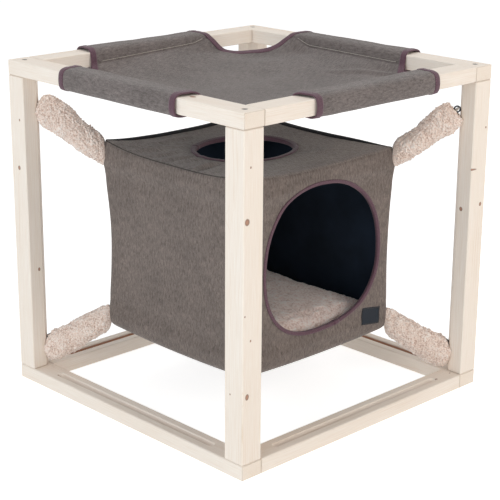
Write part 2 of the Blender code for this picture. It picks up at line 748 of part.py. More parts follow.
def add_corner_binding(corner, ex, ey):
    """Tape along a corner cut-out: round one rail, along the sheet's edge and round the next rail."""
    half = TAPE_THICKNESS / 2
    radii = (CUT_OUT_RADIUS, CUT_OUT_RADIUS + TAPE_WIDTH)
    fold = rail_fold()
    normals = fold_normals(fold)
    around = []
    for (out, height), normal in list(zip(fold, normals))[-2:0:-1]:
        free, sewn = [Vector((out, cut_out_end(out, radius), height)) for radius in radii]
        lift = Vector((normal.x, 0, normal.y)) * half
        around.append([free - lift, free + lift, sewn + lift, sewn - lift])
    across = []
    lift = Vector((0, 0, half))
    for pair in zip(*[cut_out_arc(radius, ARC_STEPS) for radius in radii]):
        free, sewn = [Vector((x, y, sheet_z(x, y))) for x, y in pair]
        across.append([free - lift, free + lift, sewn + lift, sewn - lift])
    mirrored = [[Vector((p.y, p.x, p.z)) for p in ring] for ring in reversed(around)]
    rings = [[(ex * p.x, ey * p.y, p.z) for p in ring] for ring in around + across + mirrored]
    add_object("hammock_binding_" + corner, skin(rings), (0.17, 0.085, 0.115), 0.8, smooth_deg=50)


def build():
    clear_scene()
    holes = {"top": {}, "base": {}}
    for corner, ex, ey in CORNERS:
        for level in holes:
            holes[level][corner] = add_corner_screw(level, corner, ex, ey)
    add_rail_ring("base", 0.0, holes["base"])
    add_rail_ring("top", FRAME_HEIGHT - RAIL_HEIGHT, holes["top"])
    for corner, ex, ey in CORNERS:
        cutters = [holes["top"][corner], holes["base"][corner]]
        for level in EYE_HEIGHTS:
            cutters.append(add_screw_eye(level, corner, ex, ey))
            bore = add_cord(level, corner, ex, ey)
            add_arm(level, corner, ex, ey, bore)
        add_post(corner, ex, ey, cutters)
        add_corner_binding(corner, ex, ey)

    add_sheet()

    def through_wall(u, v, along):
        return (u, along, v)

    def through_roof(u, v, along):
        return (u, v, along)

    entrance = prism(entrance_outline(GAP), -0.18, -0.12, through_wall)
    roof_hole = prism(circle_outline(ROOF_HOLE_RADIUS + GAP), 0.34, 0.40, through_roof)
    openings = [add_cutter("entrance_hole", entrance), add_cutter("roof_hole", roof_hole)]
    hollow_house("house_shell", 0.0, SHELL_THICKNESS, (0.165, 0.14, 0.125), 0.9, openings)
    hollow_house("house_lining", SHELL_THICKNESS + GAP, WALL, (0.006, 0.008, 0.014), 0.9, openings)
    add_entrance_binding()
    add_roof_binding()
    add_roof_piping()
    add_label()
    add_cushion()


build()
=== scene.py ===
# Cat hammock: a pine cube with a sagging sheet on top and a fabric house hung inside it.
# Metres, Z up, the entrance faces -Y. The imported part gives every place; this script gives the looks.
import math

import bmesh
import bpy
import numpy as np
from mathutils import Matrix, Vector


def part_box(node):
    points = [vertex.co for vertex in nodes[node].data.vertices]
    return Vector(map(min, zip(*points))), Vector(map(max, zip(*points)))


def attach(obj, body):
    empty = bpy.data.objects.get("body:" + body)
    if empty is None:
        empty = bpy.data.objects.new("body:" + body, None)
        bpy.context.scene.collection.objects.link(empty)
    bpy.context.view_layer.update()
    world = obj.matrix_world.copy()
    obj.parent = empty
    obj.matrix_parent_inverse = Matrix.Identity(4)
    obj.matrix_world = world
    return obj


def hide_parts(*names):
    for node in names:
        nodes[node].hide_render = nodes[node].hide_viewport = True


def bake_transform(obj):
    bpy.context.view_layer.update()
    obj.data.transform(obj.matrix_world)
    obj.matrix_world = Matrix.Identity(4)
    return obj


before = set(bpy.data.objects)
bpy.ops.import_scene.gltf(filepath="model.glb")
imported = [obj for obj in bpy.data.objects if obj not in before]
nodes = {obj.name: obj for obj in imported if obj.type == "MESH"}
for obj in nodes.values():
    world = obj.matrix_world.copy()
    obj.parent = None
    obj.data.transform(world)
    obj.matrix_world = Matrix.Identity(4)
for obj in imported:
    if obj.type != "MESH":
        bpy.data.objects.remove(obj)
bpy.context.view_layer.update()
corners = {"front_left": (-1, -1), "rear_left": (-1, 1), "front_right": (1, -1), "rear_right": (1, 1)}


# Camera, light and floor

camera = {
    "lens": 103.83,                      # mm, on a 36 mm sensor
    "place": (-1.4526, -1.5007, 0.8747),
    "back": (-0.6639, -0.6839, 0.3025),  # from the hammock towards the camera
    "rollDegrees": 0.4259,
}


def placeCamera():
    lens = bpy.data.cameras.new("camera")
    lens.lens = camera["lens"]
    lens.sensor_width = 36
    back = Vector(camera["back"]).normalized()
    right = Vector((-back.y, back.x, 0)).normalized()
    up = back.cross(right)
    roll = math.radians(camera["rollDegrees"])
    across = right * math.cos(roll) + up * math.sin(roll)
    above = up * math.cos(roll) - right * math.sin(roll)
    seen = bpy.data.objects.new("camera", lens)
    bpy.context.scene.collection.objects.link(seen)
    turn = Matrix((across, above, back)).transposed().to_4x4()
    seen.matrix_world = Matrix.Translation(camera["place"]) @ turn
    bpy.context.scene.camera = seen


def addNode(tree, kind, sockets=None, **settings):
    # sockets takes values, or sockets to link, by the name or number of the input
    made = tree.nodes.new("ShaderNode" + kind)
    for name, value in settings.items():
        setattr(made, name, value)
    for name, value in (sockets or {}).items():
        if isinstance(value, bpy.types.NodeSocket):
            tree.links.new(value, made.inputs[name])
        else:
            made.inputs[name].default_value = value
    return made


def compute(tree, operation, first, second=0.0):
    return addNode(tree, "Math", {0: first, 1: second}, operation=operation).outputs[0]


def computeVector(tree, operation, *vectors):
    made = addNode(tree, "VectorMath", dict(enumerate(vectors)), operation=operation)
    return made.outputs["Value" if operation == "LENGTH" else "Vector"]


def rescaled(tree, value, fromLow=0.0, fromHigh=1.0, toLow=0.0, toHigh=1.0, way="LINEAR"):
    sockets = {"Value": value, 1: fromLow, 2: fromHigh, 3: toLow, 4: toHigh}
    return addNode(tree, "MapRange", sockets, interpolation_type=way).outputs[0]


def coordinates(tree, kind="Object"):
    return addNode(tree, "TexCoord").outputs[kind]


def separated(tree, vector):
    return addNode(tree, "SeparateXYZ", {0: vector}).outputs


def seenDirectly(tree):
    # 1 for what the camera sees, straight or in a reflection or through glass
    path = addNode(tree, "LightPath").outputs
    either = compute(tree, "MAXIMUM", path["Is Camera Ray"], path["Is Glossy Ray"])
    return compute(tree, "MAXIMUM", either, path["Is Transmission Ray"])


studio = {
    "skyLow": 0.73,                      # light from the sides and from above
    "skyHigh": 0.40,
    "skyCool": (0.955, 0.982, 1.0, 1),   # on the left and behind
    "skyWarm": (1.0, 0.966, 0.925, 1),   # on the right and in front
    "backdrop": 1.0,
    "floorColour": (0.80, 0.80, 0.80),
    "floorLift": 0.68,                   # keeps the floor white to the camera, and its shadows
    "floorBounce": 0.30,                 # a wide lit floor also lights the piece from below
    "floorSize": 9.0,
    # name: place, size, watts, colour
    "lamps": {
        "leftLamp": ((-2.5, -0.5, 1.15), 1.6, 20, (0.86, 0.945, 1.0)),
        "frontLamp": ((0.3, -2.5, 1.45), 1.4, 15.5, (1.0, 0.94, 0.875)),
        "rightLamp": ((2.4, -0.7, 0.8), 1.4, 5, (1.0, 0.97, 0.93)),
        "topLamp": ((0.1, 0.3, 2.6), 1.8, 13, (1.0, 1.0, 1.0)),
    },
}


def lightStudio():
    scene = bpy.context.scene
    scene.view_settings.view_transform = "Standard"
    world = bpy.data.worlds.new("studio")
    world.use_nodes = True
    tree = world.node_tree
    tree.nodes.clear()
    way = separated(tree, coordinates(tree, "Generated"))
    fade = rescaled(tree, way[2], 0.05, 0.75, studio["skyLow"], studio["skyHigh"])
    right = rescaled(tree, compute(tree, "SUBTRACT", way[0], way[1]), -1.0, 1.0)
    tint = addNode(tree, "MixRGB", {0: right, 1: studio["skyCool"], 2: studio["skyWarm"]})
    light = addNode(tree, "Background", {"Color": tint.outputs[0], "Strength": fade})
    white = addNode(tree, "Background", {"Color": (1, 1, 1, 1), "Strength": studio["backdrop"]})
    both = addNode(tree, "MixShader", {0: seenDirectly(tree), 1: light.outputs[0], 2: white.outputs[0]})
    addNode(tree, "OutputWorld", {"Surface": both.outputs[0]})
    scene.world = world
    for name, (place, size, power, colour) in studio["lamps"].items():
        lamp = bpy.data.lights.new(name, "AREA")
        lamp.shape = "DISK"
        lamp.size = size
        lamp.energy = power
        lamp.color = colour
        stand = bpy.data.objects.new(name, lamp)
        scene.collection.objects.link(stand)
        stand.location = place
        aim = Vector((0, 0, 0.25)) - Vector(place)
        stand.rotation_euler = aim.to_track_quat("-Z", "Y").to_euler()


def layFloor():
    mesh = bpy.data.meshes.new("floor")
    bm = bmesh.new()
    bmesh.ops.create_grid(bm, x_segments=8, y_segments=8, size=studio["floorSize"] / 2)
    bm.to_mesh(mesh)
    bm.free()
    floor = bpy.data.objects.new("floor", mesh)
    floor.location.z = -0.0002
    bpy.context.scene.collection.objects.link(floor)
    finish = bpy.data.materials.new("paleFloor")
    finish.use_nodes = True
    tree = finish.node_tree
    tree.nodes.clear()
    matt = addNode(tree, "BsdfDiffuse", {"Color": (*studio["floorColour"], 1)})
    glow = rescaled(tree, seenDirectly(tree), toLow=studio["floorBounce"], toHigh=studio["floorLift"])
    lift = addNode(tree, "Emission", {"Strength": glow})
    both = addNode(tree, "AddShader", {0: matt.outputs[0], 1: lift.outputs[0]})
    addNode(tree, "OutputMaterial", {"Surface": both.outputs[0]})
    mesh.materials.append(finish)


placeCamera()
lightStudio()
layFloor()
print("camera, light and floor are in place")


# Tools shared by the finishes

def paint(red, green, blue):
    # a colour from 0 to 255, as a picture shows it, in the values that a shader takes
    steps = [value / 255 for value in (red, green, blue)]
    return tuple(s / 12.92 if s <= 0.04045 else ((s + 0.055) / 1.055) ** 2.4 for s in steps) + (1.0,)


def newFinish(name, roughness, specular=0.5, sheen=0.0, metallic=0.0):
    finish = bpy.data.materials.new(name)
    finish.use_nodes = True
    shader = finish.node_tree.nodes["Principled BSDF"]
    values = {"Roughness": roughness, "Specular IOR Level": specular, "Metallic": metallic,
              "Sheen Weight": sheen, "Sheen Roughness": 0.55}
    for socket, value in values.items():
        shader.inputs[socket].default_value = value
    return finish, finish.node_tree, shader


def clothPlace(tree):
    return addNode(tree, "UVMap", uv_map="cloth").outputs[0]


def noise(tree, vector, scale, detail=2.0, roughness=0.5, move=(0, 0, 0), distortion=0.0, output="Fac"):
    # scale is in bumps to the metre, one number or one for each axis
    scale = scale if np.ndim(scale) else (scale,) * 3
    placed = addNode(tree, "Mapping", {"Vector": vector, "Location": move, "Scale": scale}).outputs[0]
    sockets = {"Vector": placed, "Scale": 1.0, "Detail": detail, "Roughness": roughness,
               "Distortion": distortion}
    return addNode(tree, "TexNoise", sockets).outputs[output]


waveScale = 0.314                        # a wave texture of this scale repeats once a metre


def bands(tree, vector, pitch, direction="X", distortion=0.6):
    return addNode(tree, "TexWave", {"Vector": vector, "Scale": waveScale / pitch, "Distortion": distortion},
                   wave_type="BANDS", bands_direction=direction).outputs["Fac"]


def ramp(tree, factor, stops):
    # stops are (place, colour) pairs
    made = addNode(tree, "ValToRGB", {"Fac": factor})
    points = made.color_ramp.elements
    while len(points) < len(stops):
        points.new(0.5)
    for point, (place, colour) in zip(points, stops):
        point.position = place
        point.color = colour
    return made.outputs[0]


def mixed(tree, factor, first, second, way="MIX"):
    return addNode(tree, "MixRGB", {"Fac": factor, "Color1": first, "Color2": second},
                   blend_type=way).outputs[0]


def painted(tree, shader, colour, height, depth, strength):
    # gives the shader its colour, and a relief of some depth in metres
    tree.links.new(colour, shader.inputs["Base Color"])
    bump = addNode(tree, "Bump", {"Height": height, "Distance": depth, "Strength": strength})
    tree.links.new(bump.outputs[0], shader.inputs["Normal"])


def dress(piece, finish, standsFor=(), body=None):
    piece.data.materials.clear()
    piece.data.materials.append(finish)
    if standsFor:
        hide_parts(*standsFor)
    if body:
        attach(piece, body)
    return piece


# Wood

pine = {
    "early": paint(247, 238, 228),
    "late": paint(220, 194, 167),
    "blush": paint(240, 222, 204),
    "endGrain": paint(226, 208, 186),
    "joint": paint(168, 148, 130),
    # painted shade for the grooves in the base rails
    "grooveShadeColour": paint(150, 98, 66),
    "knotHeart": paint(172, 122, 96),
    "knotRim": paint(126, 88, 66),
    "ringSpacing": 0.0031,
    "roughness": 0.52,
}
# where the grain runs, and how far the tree's heart is from the piece's middle
boards = {
    "base_rail_left": ("Y", (-0.034, 0, -0.030)),
    "base_rail_right": ("Y", (0.047, 0, 0.018)),
    "base_rail_front": ("X", (0, -0.028, 0.041)),
    "base_rail_rear": ("X", (0, 0.052, -0.022)),
    "top_rail_left": ("Y", (0.031, 0, -0.046)),
    "top_rail_right": ("Y", (-0.050, 0, 0.026)),
    "top_rail_front": ("X", (0, 0.036, -0.033)),
    "top_rail_rear": ("X", (0, -0.044, 0.029)),
    "post_front_left": ("Z", (0.044, 0.030, 0)),
    "post_front_right": ("Z", (-0.036, 0.049, 0)),
    "post_rear_left": ("Z", (0.052, -0.027, 0)),
    "post_rear_right": ("Z", (-0.041, -0.045, 0)),
}
# how strong the painted shade in each base rail's groove is; stronger on the rear and right rails, which lie
# in the house's shade
grooveShadeStrengths = {"base_rail_rear": 1.0, "base_rail_right": 1.0,
                "base_rail_left": 0.18, "base_rail_front": 0.18}
# board, the way the branch ran, its place on the face, radius
knots = [
    ("post_front_left", "Y", (-0.2377, 0.430), 0.0012),
    ("post_front_left", "Y", (-0.2423, 0.359), 0.0036),
    ("post_front_left", "Y", (-0.2462, 0.232), 0.0011),
    ("post_front_left", "Y", (-0.2353, 0.196), 0.0013),
    ("post_front_left", "Y", (-0.2419, 0.120), 0.0033),
    ("post_front_left", "X", (-0.2265, 0.119), 0.0010),
    ("post_rear_left", "Y", (-0.2340, 0.180), 0.0022),
    ("post_rear_left", "X", (0.2330, 0.338), 0.0026),
    ("post_front_right", "X", (-0.2330, 0.285), 0.0025),
    ("post_front_right", "Y", (0.2400, 0.292), 0.0024),
    ("post_front_right", "Y", (0.2440, 0.408), 0.0012),
    ("post_rear_right", "X", (0.2360, 0.151), 0.0029),
    ("post_rear_right", "Y", (0.2300, 0.395), 0.0020),
    ("top_rail_left", "Z", (-0.2300, -0.1352), 0.0038),
    ("top_rail_rear", "Z", (0.061, 0.2340), 0.0024),
    ("base_rail_front", "Z", (0.208, -0.2350), 0.0013),
    ("base_rail_front", "Z", (0.173, -0.2364), 0.0018),
    ("base_rail_left", "Z", (-0.2348, 0.170), 0.0022),
    ("post_rear_left", "X", (0.2278, 0.412), 0.0015),
    ("post_front_right", "X", (-0.2480, 0.347), 0.0013),
]


def knotFields(tree, board, along, place):
    # how far the board's knots push its rings aside, where they are, and how near their rims
    push, inside, rim = 0.0, 0.0, 1.0
    for owner, branch, spot, radius in knots:
        if owner != board:
            continue
        centre, squeeze = [0.0] * 3, [0.0] * 3
        flat = [i for i in range(3) if i != "XYZ".index(branch)]
        for i, value in zip(flat, spot):
            centre[i] = value
            squeeze[i] = 0.8 if i == along else 1.0
        offset = computeVector(tree, "MULTIPLY", computeVector(tree, "SUBTRACT", place, centre), squeeze)
        share = compute(tree, "DIVIDE", computeVector(tree, "LENGTH", offset), radius)
        push = compute(tree, "ADD", push, rescaled(tree, share, 0.5, 4.5, 5.0, 0.0, "SMOOTHSTEP"))
        inside = compute(tree, "MAXIMUM", inside, rescaled(tree, share, 0.85, 1.2, 1.0, 0.0))
        rim = compute(tree, "MINIMUM", rim, rescaled(tree, share, 0.35, 0.95))
    return push, inside, rim


def woodFinish(board):
    axis, heart = boards[board]
    along = "XYZ".index(axis)
    low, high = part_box(board)
    middle = (low + high) / 2
    finish, tree, shader = newFinish("pine_" + board, pine["roughness"], specular=0.3)
    place = coordinates(tree)
    spots = separated(tree, place)

    def grained(across, lengthways, detail, roughness=0.5, turn=0.0, output="Fac"):
        scale = [across] * 3
        scale[along] = lengthways
        move = [turn + heart[(i + 1) % 3] * 40 for i in range(3)]
        return noise(tree, place, scale, detail, roughness, move, output=output)

    def fromMiddle(k):
        return compute(tree, "ABSOLUTE", compute(tree, "SUBTRACT", spots[k], middle[k]))

    # the rings wander along the board, and bend round the knots
    wander = computeVector(tree, "SUBTRACT", grained(16, 3.2, 1.5, output="Color"), (0.5,) * 3)
    moved = computeVector(tree, "MULTIPLY_ADD", wander, (0.011,) * 3, place)
    centred = computeVector(tree, "SUBTRACT", moved, tuple(middle + Vector(heart)))
    push, inKnot, atRim = knotFields(tree, board, along, moved)
    sockets = {"Vector": centred, "Scale": waveScale / pine["ringSpacing"], "Detail": 1.0,
               "Distortion": 0.8, "Detail Scale": 0.6, "Phase Offset": push}
    rings = addNode(tree, "TexWave", sockets, wave_type="RINGS", rings_direction=axis,
                    wave_profile="SAW").outputs["Fac"]
    fibre = grained(1500, 22, 3.0, 0.6)
    cloudy = grained(34, 5, 2.0, turn=3.7)
    grain = compute(tree, "MULTIPLY", rings, rescaled(tree, cloudy, 0.3, 0.7, 0.25, 0.85))
    colour = ramp(tree, grain, [(0.0, pine["early"]), (0.55, pine["early"]), (1.0, pine["late"])])
    colour = mixed(tree, rescaled(tree, fibre, 0.35, 0.75, 0.0, 0.42), colour, pine["late"])
    colour = mixed(tree, rescaled(tree, cloudy, 0.35, 0.75, 0.0, 0.22), colour, pine["blush"])
    if board in grooveShadeStrengths:
        # painted shade: the routed groove in a base rail's top is darkened brown
        grooveShade = rescaled(tree, spots[2], high[2] - 0.0021, high[2] - 0.0004, grooveShadeStrengths[board], 0.0)
        for k, inner, outer in ((1 - along, 0.0042, 0.0056), (along, 0.166, 0.173)):
            grooveShade = compute(tree, "MULTIPLY", grooveShade, rescaled(tree, fromMiddle(k), inner, outer, 1.0, 0.0))
        colour = mixed(tree, grooveShade, colour, pine["grooveShadeColour"])
    facing = separated(tree, coordinates(tree, "Normal"))[along]
    cutAcross = compute(tree, "POWER", compute(tree, "ABSOLUTE", facing), 8.0)
    colour = mixed(tree, compute(tree, "MULTIPLY", cutAcross, 0.22), colour, pine["endGrain"])
    # a thin dark line where the board meets the next one
    reach = (high[along] - low[along]) / 2
    atEnd = rescaled(tree, fromMiddle(along), reach - 0.0011, reach - 0.0004, 0.0, 0.38)
    line = compute(tree, "MULTIPLY", atEnd, compute(tree, "SUBTRACT", 1.0, cutAcross))
    colour = mixed(tree, line, colour, pine["joint"])
    knotColour = mixed(tree, atRim, pine["knotHeart"], pine["knotRim"])
    colour = mixed(tree, compute(tree, "MULTIPLY", inKnot, 0.9), colour, knotColour)
    relief = compute(tree, "ADD", fibre, compute(tree, "MULTIPLY", grain, 0.5))
    painted(tree, shader, colour, relief, 0.00012, 0.5)
    return finish


for board in boards:
    dress(nodes[board], woodFinish(board))
print("the twelve boards have their grain and knots")


# Tools shared by the soft pieces

def fieldNoise(points, size, seed=0):
    # a smooth random field from -1 to 1, whose bumps are about size across
    points = np.asarray(points, float)
    place = points.reshape(-1, 3) / size + 1000.37 + seed * 17.13
    cell = np.floor(place).astype(np.int64)
    part = place - cell
    part = part * part * (3 - 2 * part)
    total = np.zeros(len(place))
    for corner in range(8):
        step = np.array([(corner >> k) & 1 for k in range(3)])
        at = cell + step
        mix = (at[:, 0] * 73856093) ^ (at[:, 1] * 19349663) ^ (at[:, 2] * 83492791)
        mix = ((mix ^ (mix >> 13)) * 1274126177) & 0x7FFFFFFF
        total += np.prod(np.where(step, part, 1 - part), axis=1) * (mix / 0x3FFFFFFF - 1)
    return total.reshape(points.shape[:-1])


def noiseAt(x, y, z, size, seed):
    return fieldNoise(np.stack(np.broadcast_arrays(x, y, z), -1), size, seed)


def smoothShare(value, low, high):
    t = np.clip((np.asarray(value, float) - low) / (high - low), 0, 1)
    return t * t * (3 - 2 * t)


def through(keys, values, at):
    # a smooth curve through values at keys, read at other places
    keys, values, at = np.asarray(keys, float), np.asarray(values, float), np.asarray(at, float)
    slopes = np.gradient(values, keys, axis=0)
    i = np.clip(np.searchsorted(keys, at) - 1, 0, len(keys) - 2)
    gap = keys[i + 1] - keys[i]
    t = (at - keys[i]) / gap
    if values.ndim > 1:
        t, gap = t[..., None], gap[..., None]
    curve = (2 * t ** 3 - 3 * t ** 2 + 1) * values[i] + (3 * t ** 2 - 2 * t ** 3) * values[i + 1]
    return curve + gap * ((t ** 3 - 2 * t ** 2 + t) * slopes[i] + (t ** 3 - t ** 2) * slopes[i + 1])


def unit(vectors):
    vectors = np.asarray(vectors, float)
    return vectors / np.maximum(np.linalg.norm(vectors, axis=-1, keepdims=True), 1e-12)


def quarterRound(share):
    # rises from 0 to 1 like a quarter of a circle
    return np.sqrt(1 - (1 - np.clip(share, 0, 1)) ** 2)


def wrapped(grid):
    # a grid that closes, with its first column once more at the end
    return np.concatenate([grid, grid[:, :1]], 1)


def patch(points, cloth=None, closeRows=False, closeColumns=False):
    # a grid of points, its faces, and their corners' places on the flat cloth
    # cloth gives those places point by point, with one more row or column where the grid closes
    points = np.asarray(points, float)
    rows, columns = points.shape[:2]
    i, j = np.meshgrid(np.arange(rows - 1 + closeRows), np.arange(columns - 1 + closeColumns), indexing="ij")
    around = [(i, j), (i, j + 1), (i + 1, j + 1), (i + 1, j)]
    faces = np.stack([(a % rows) * columns + b % columns for a, b in around], -1).reshape(-1, 4)
    if cloth is not None:
        cloth = np.stack([np.asarray(cloth, float)[a, b] for a, b in around], -2).reshape(-1, 2)
    return points.reshape(-1, 3), faces.tolist(), cloth


def fan(ring, hub):
    # closes a ring of points to one middle point
    count = len(ring)
    return np.vstack([ring, [hub]]), [(k, (k + 1) % count, count) for k in range(count)], None


def sewn(name, patches, weld=2e-5):
    # joins patches into one mesh whose shared edges are welded and whose faces look outwards
    points, faces, flat, start = [], [], [], 0
    for places, outlines, cloth in patches:
        points.append(places)
        faces += [[v + start for v in outline] for outline in outlines]
        flat.append(np.zeros((sum(map(len, outlines)), 2)) if cloth is None else cloth)
        start += len(places)
    mesh = bpy.data.meshes.new(name)
    mesh.from_pydata(np.vstack(points).tolist(), [], faces)
    if any(cloth is not None for _, _, cloth in patches):
        layer = mesh.uv_layers.new(name="cloth")
        layer.data.foreach_set("uv", np.vstack(flat).astype(np.float32).ravel())
    bm = bmesh.new()
    bm.from_mesh(mesh)
    bmesh.ops.remove_doubles(bm, verts=bm.verts, dist=weld)
    bmesh.ops.recalc_face_normals(bm, faces=bm.faces)
    bm.to_mesh(mesh)
    bm.free()
    mesh.shade_smooth()
    piece = bpy.data.objects.new(name, mesh)
    bpy.context.scene.collection.objects.link(piece)
    return piece


def settle(piece):
    # makes the modifiers part of the mesh
    graph = bpy.context.evaluated_depsgraph_get()
    mesh = bpy.data.meshes.new_from_object(piece.evaluated_get(graph))
    piece.modifiers.clear()
    piece.data = mesh
    return piece


def readPoints(piece, kind="co"):
    values = np.zeros(len(piece.data.vertices) * 3)
    piece.data.vertices.foreach_get(kind, values)
    return values.reshape(-1, 3)


def movePoints(piece, points):
    piece.data.vertices.foreach_set("co", points.ravel().astype(np.float32))
    piece.data.update()


def cubeSteps(count):
    # steps from -1 to 1, closer together near the ends
    t = np.linspace(-1, 1, count + 1)
    return t * (1.36 - 0.36 * t * t)


def cubeWalls(steps, place, leftOut=()):
    # the walls of the cube from -1 to 1 as grids; place gives each of its points a place
    first, second = np.meshgrid(steps, steps, indexing="ij")
    patches = []
    for axis in range(3):
        others = [k for k in range(3) if k != axis]
        for end in (-1, 1):
            if (axis, end) not in leftOut:
                cube = [np.full_like(first, end)] * 3
                cube[others[0]], cube[others[1]] = first, second
                points = place(*cube)
                patches.append(patch(points, points[..., others]))
    return patches


def roundedBox(a, b, c, half, radius):
    # points of a box with round edges from points of the cube from -1 to 1, and the way out of it
    point = np.stack(np.broadcast_arrays(a, b, c), -1) * half
    core = np.clip(point, radius - half, half - radius)
    out = unit(point - core)
    return core + out * radius, out


def thickened(piece, thickness, offset=-1.0):
    cloth = piece.modifiers.new("cloth", "SOLIDIFY")
    cloth.thickness = thickness
    cloth.offset = offset
    cloth.use_even_offset = True
    return settle(piece)


def distances(path):
    # how far along a path each of its points is
    return np.concatenate([[0], np.cumsum(np.linalg.norm(np.diff(path, axis=0), axis=1))])


def sampled(at, lengths, values):
    return np.stack([np.interp(at, lengths, values[:, k]) for k in range(3)], 1)


def evenly(path, spacing):
    path = np.asarray(path, float)
    lengths = distances(path)
    count = max(2, int(round(lengths[-1] / spacing)) + 1)
    return sampled(np.linspace(0, lengths[-1], count), lengths, path)


def tube(path, radius, sides=8, start=None):
    # a round rod along a path, with rounded ends; start is a direction square to the path
    path = np.asarray(path, float)
    radii = np.broadcast_to(radius, len(path)).astype(float)
    forward = unit(np.gradient(path, axis=0))
    side = np.cross(forward[0], (0, 0, 1.0)) if start is None else np.asarray(start, float)
    if np.linalg.norm(side) < 1e-6:
        side = np.array((1.0, 0, 0))
    rows = list(zip(path, radii, forward))
    for end, way in ((0, -1), (-1, 1)):
        cap = [(path[end] + way * forward[end] * radii[end] * math.sin(t), radii[end] * math.cos(t),
                forward[end]) for t in (0.7, 1.25)]
        rows = rows + cap if end else cap[::-1] + rows
    turns = np.arange(sides) * 2 * math.pi / sides
    rings, lengths = [], distances(np.array([row[0] for row in rows]))
    for middle, reach, step in rows:
        side = unit(side - step * (side @ step))
        above = np.cross(step, side)
        rings.append([middle + reach * (side * math.cos(t) + above * math.sin(t)) for t in turns])
    across = np.arange(sides + 1) / sides * 2 * math.pi * radii[0]
    flat = np.stack(np.meshgrid(across, lengths), -1)
    return [patch(rings, flat, closeColumns=True), fan(rings[0], path[0] - forward[0] * radii[0]),
            fan(rings[-1], path[-1] + forward[-1] * radii[-1])]


thread = {"length": 0.0030, "gap": 0.0008, "radius": 0.00036, "arch": 0.00018}


def stitches(path, normals, closed=False):
    # a row of thread, one short arched stitch after another, lying on the cloth
    path, normals = np.asarray(path, float), unit(normals)
    if closed:
        path, normals = np.vstack([path, path[:1]]), np.vstack([normals, normals[:1]])
    lengths = distances(path)
    pitch = thread["length"] + thread["gap"]
    arch = np.array([-1.2, 0.5, 1.0, 0.5, -1.2])[:, None] * thread["arch"]
    patches = []
    for number in range(int(lengths[-1] / pitch)):
        at = number * pitch + np.linspace(0, thread["length"], 5)
        lift = sampled(at, lengths, normals)
        patches += tube(sampled(at, lengths, path) + lift * arch, thread["radius"], 5, start=lift[0])
    return patches


def creased(x, y, folds):
    # low ridges along straight lines; each fold is start, end, width, height
    total = np.zeros(np.shape(x))
    for (x0, y0), (x1, y1), width, height in folds:
        run = np.array((x1 - x0, y1 - y0))
        length = np.hypot(*run)
        share = np.clip(((x - x0) * run[0] + (y - y0) * run[1]) / length ** 2, 0, 1)
        away = np.hypot(x - x0 - share * run[0], y - y0 - share * run[1])
        taper = 0.25 + 0.75 * np.sin(np.pi * (0.1 + 0.8 * share))
        total += height * taper * (np.exp(-(away / width) ** 2) - 0.35 * np.exp(-(away / width / 2.2) ** 2))
    return total


def foldedTape(edge, into, out, width, half, closed=False, seed=0):
    # bias tape folded over an edge: edge runs along the tape's fold, into points into the cloth, out off it
    thickness, pucker, fold = 0.0006, 0.00012, 0.16
    into, out = unit(into), unit(out)
    leaf = np.linspace(1.0, fold, 7)
    swell = 0.80 + 0.28 * np.sin(np.pi * np.clip((1 - leaf) * 1.15, 0, 1)) ** 0.8
    bend = np.linspace(math.radians(66), math.radians(-66), 6)
    outer = [(s * width, half * h) for s, h in zip(leaf, swell)]
    outer += [(fold * width * (1 - math.cos(t)), half * math.sin(t)) for t in bend]
    outer += [(s * width, -half * h) for s, h in zip(leaf[::-1], swell[::-1])]
    outer = np.array(outer)
    run = np.diff(np.vstack([outer[:1], outer, outer[-1:]]), axis=0)
    run = unit(run[1:] + run[:-1])
    section = np.vstack([outer, (outer + thickness * np.stack([-run[:, 1], run[:, 0]], 1))[::-1]])
    lengths = distances(edge)
    wave = pucker * noiseAt(lengths, 0.0, seed, 0.004, seed)
    points = (edge[:, None] + into[:, None] * section[None, :, 0, None]
              + out[:, None] * (section[None, :, 1, None] * (1 + wave[:, None, None] / half)))
    along = np.append(lengths, lengths[-1] + 0.001)[:len(edge) + closed]
    flat = np.stack(np.meshgrid(along, np.append(distances(section), 2.2 * width), indexing="ij"), -1)
    patches = [patch(points, flat, closeRows=closed, closeColumns=True)]
    if not closed:
        patches += [(points[row], [list(range(len(section)))], None) for row in (0, -1)]
    return patches


def tapeStitches(edge, into, out, width, half, closed=False, setBack=0.0013):
    # thread on both leaves of a tape, near its sewn edge
    patches = []
    for side in (1, -1):
        place = edge + into * (width - setBack) + out * side * (half * 0.93)
        patches += stitches(place, out * side, closed)
    return patches


# Cloths, tapes and threads

cloth = {
    "sheetDark": paint(88, 80, 77),
    "sheetLight": paint(131, 121, 118),
    "wallDark": paint(88, 78, 73),
    "wallLight": paint(137, 124, 117),
    # painted light on the roof: how much paler the cloth that faces up is made
    "roofPaintedLight": (1.52, 1.62, 1.68),
    "roughness": 0.92,
    "threadPitch": 0.00062,
}


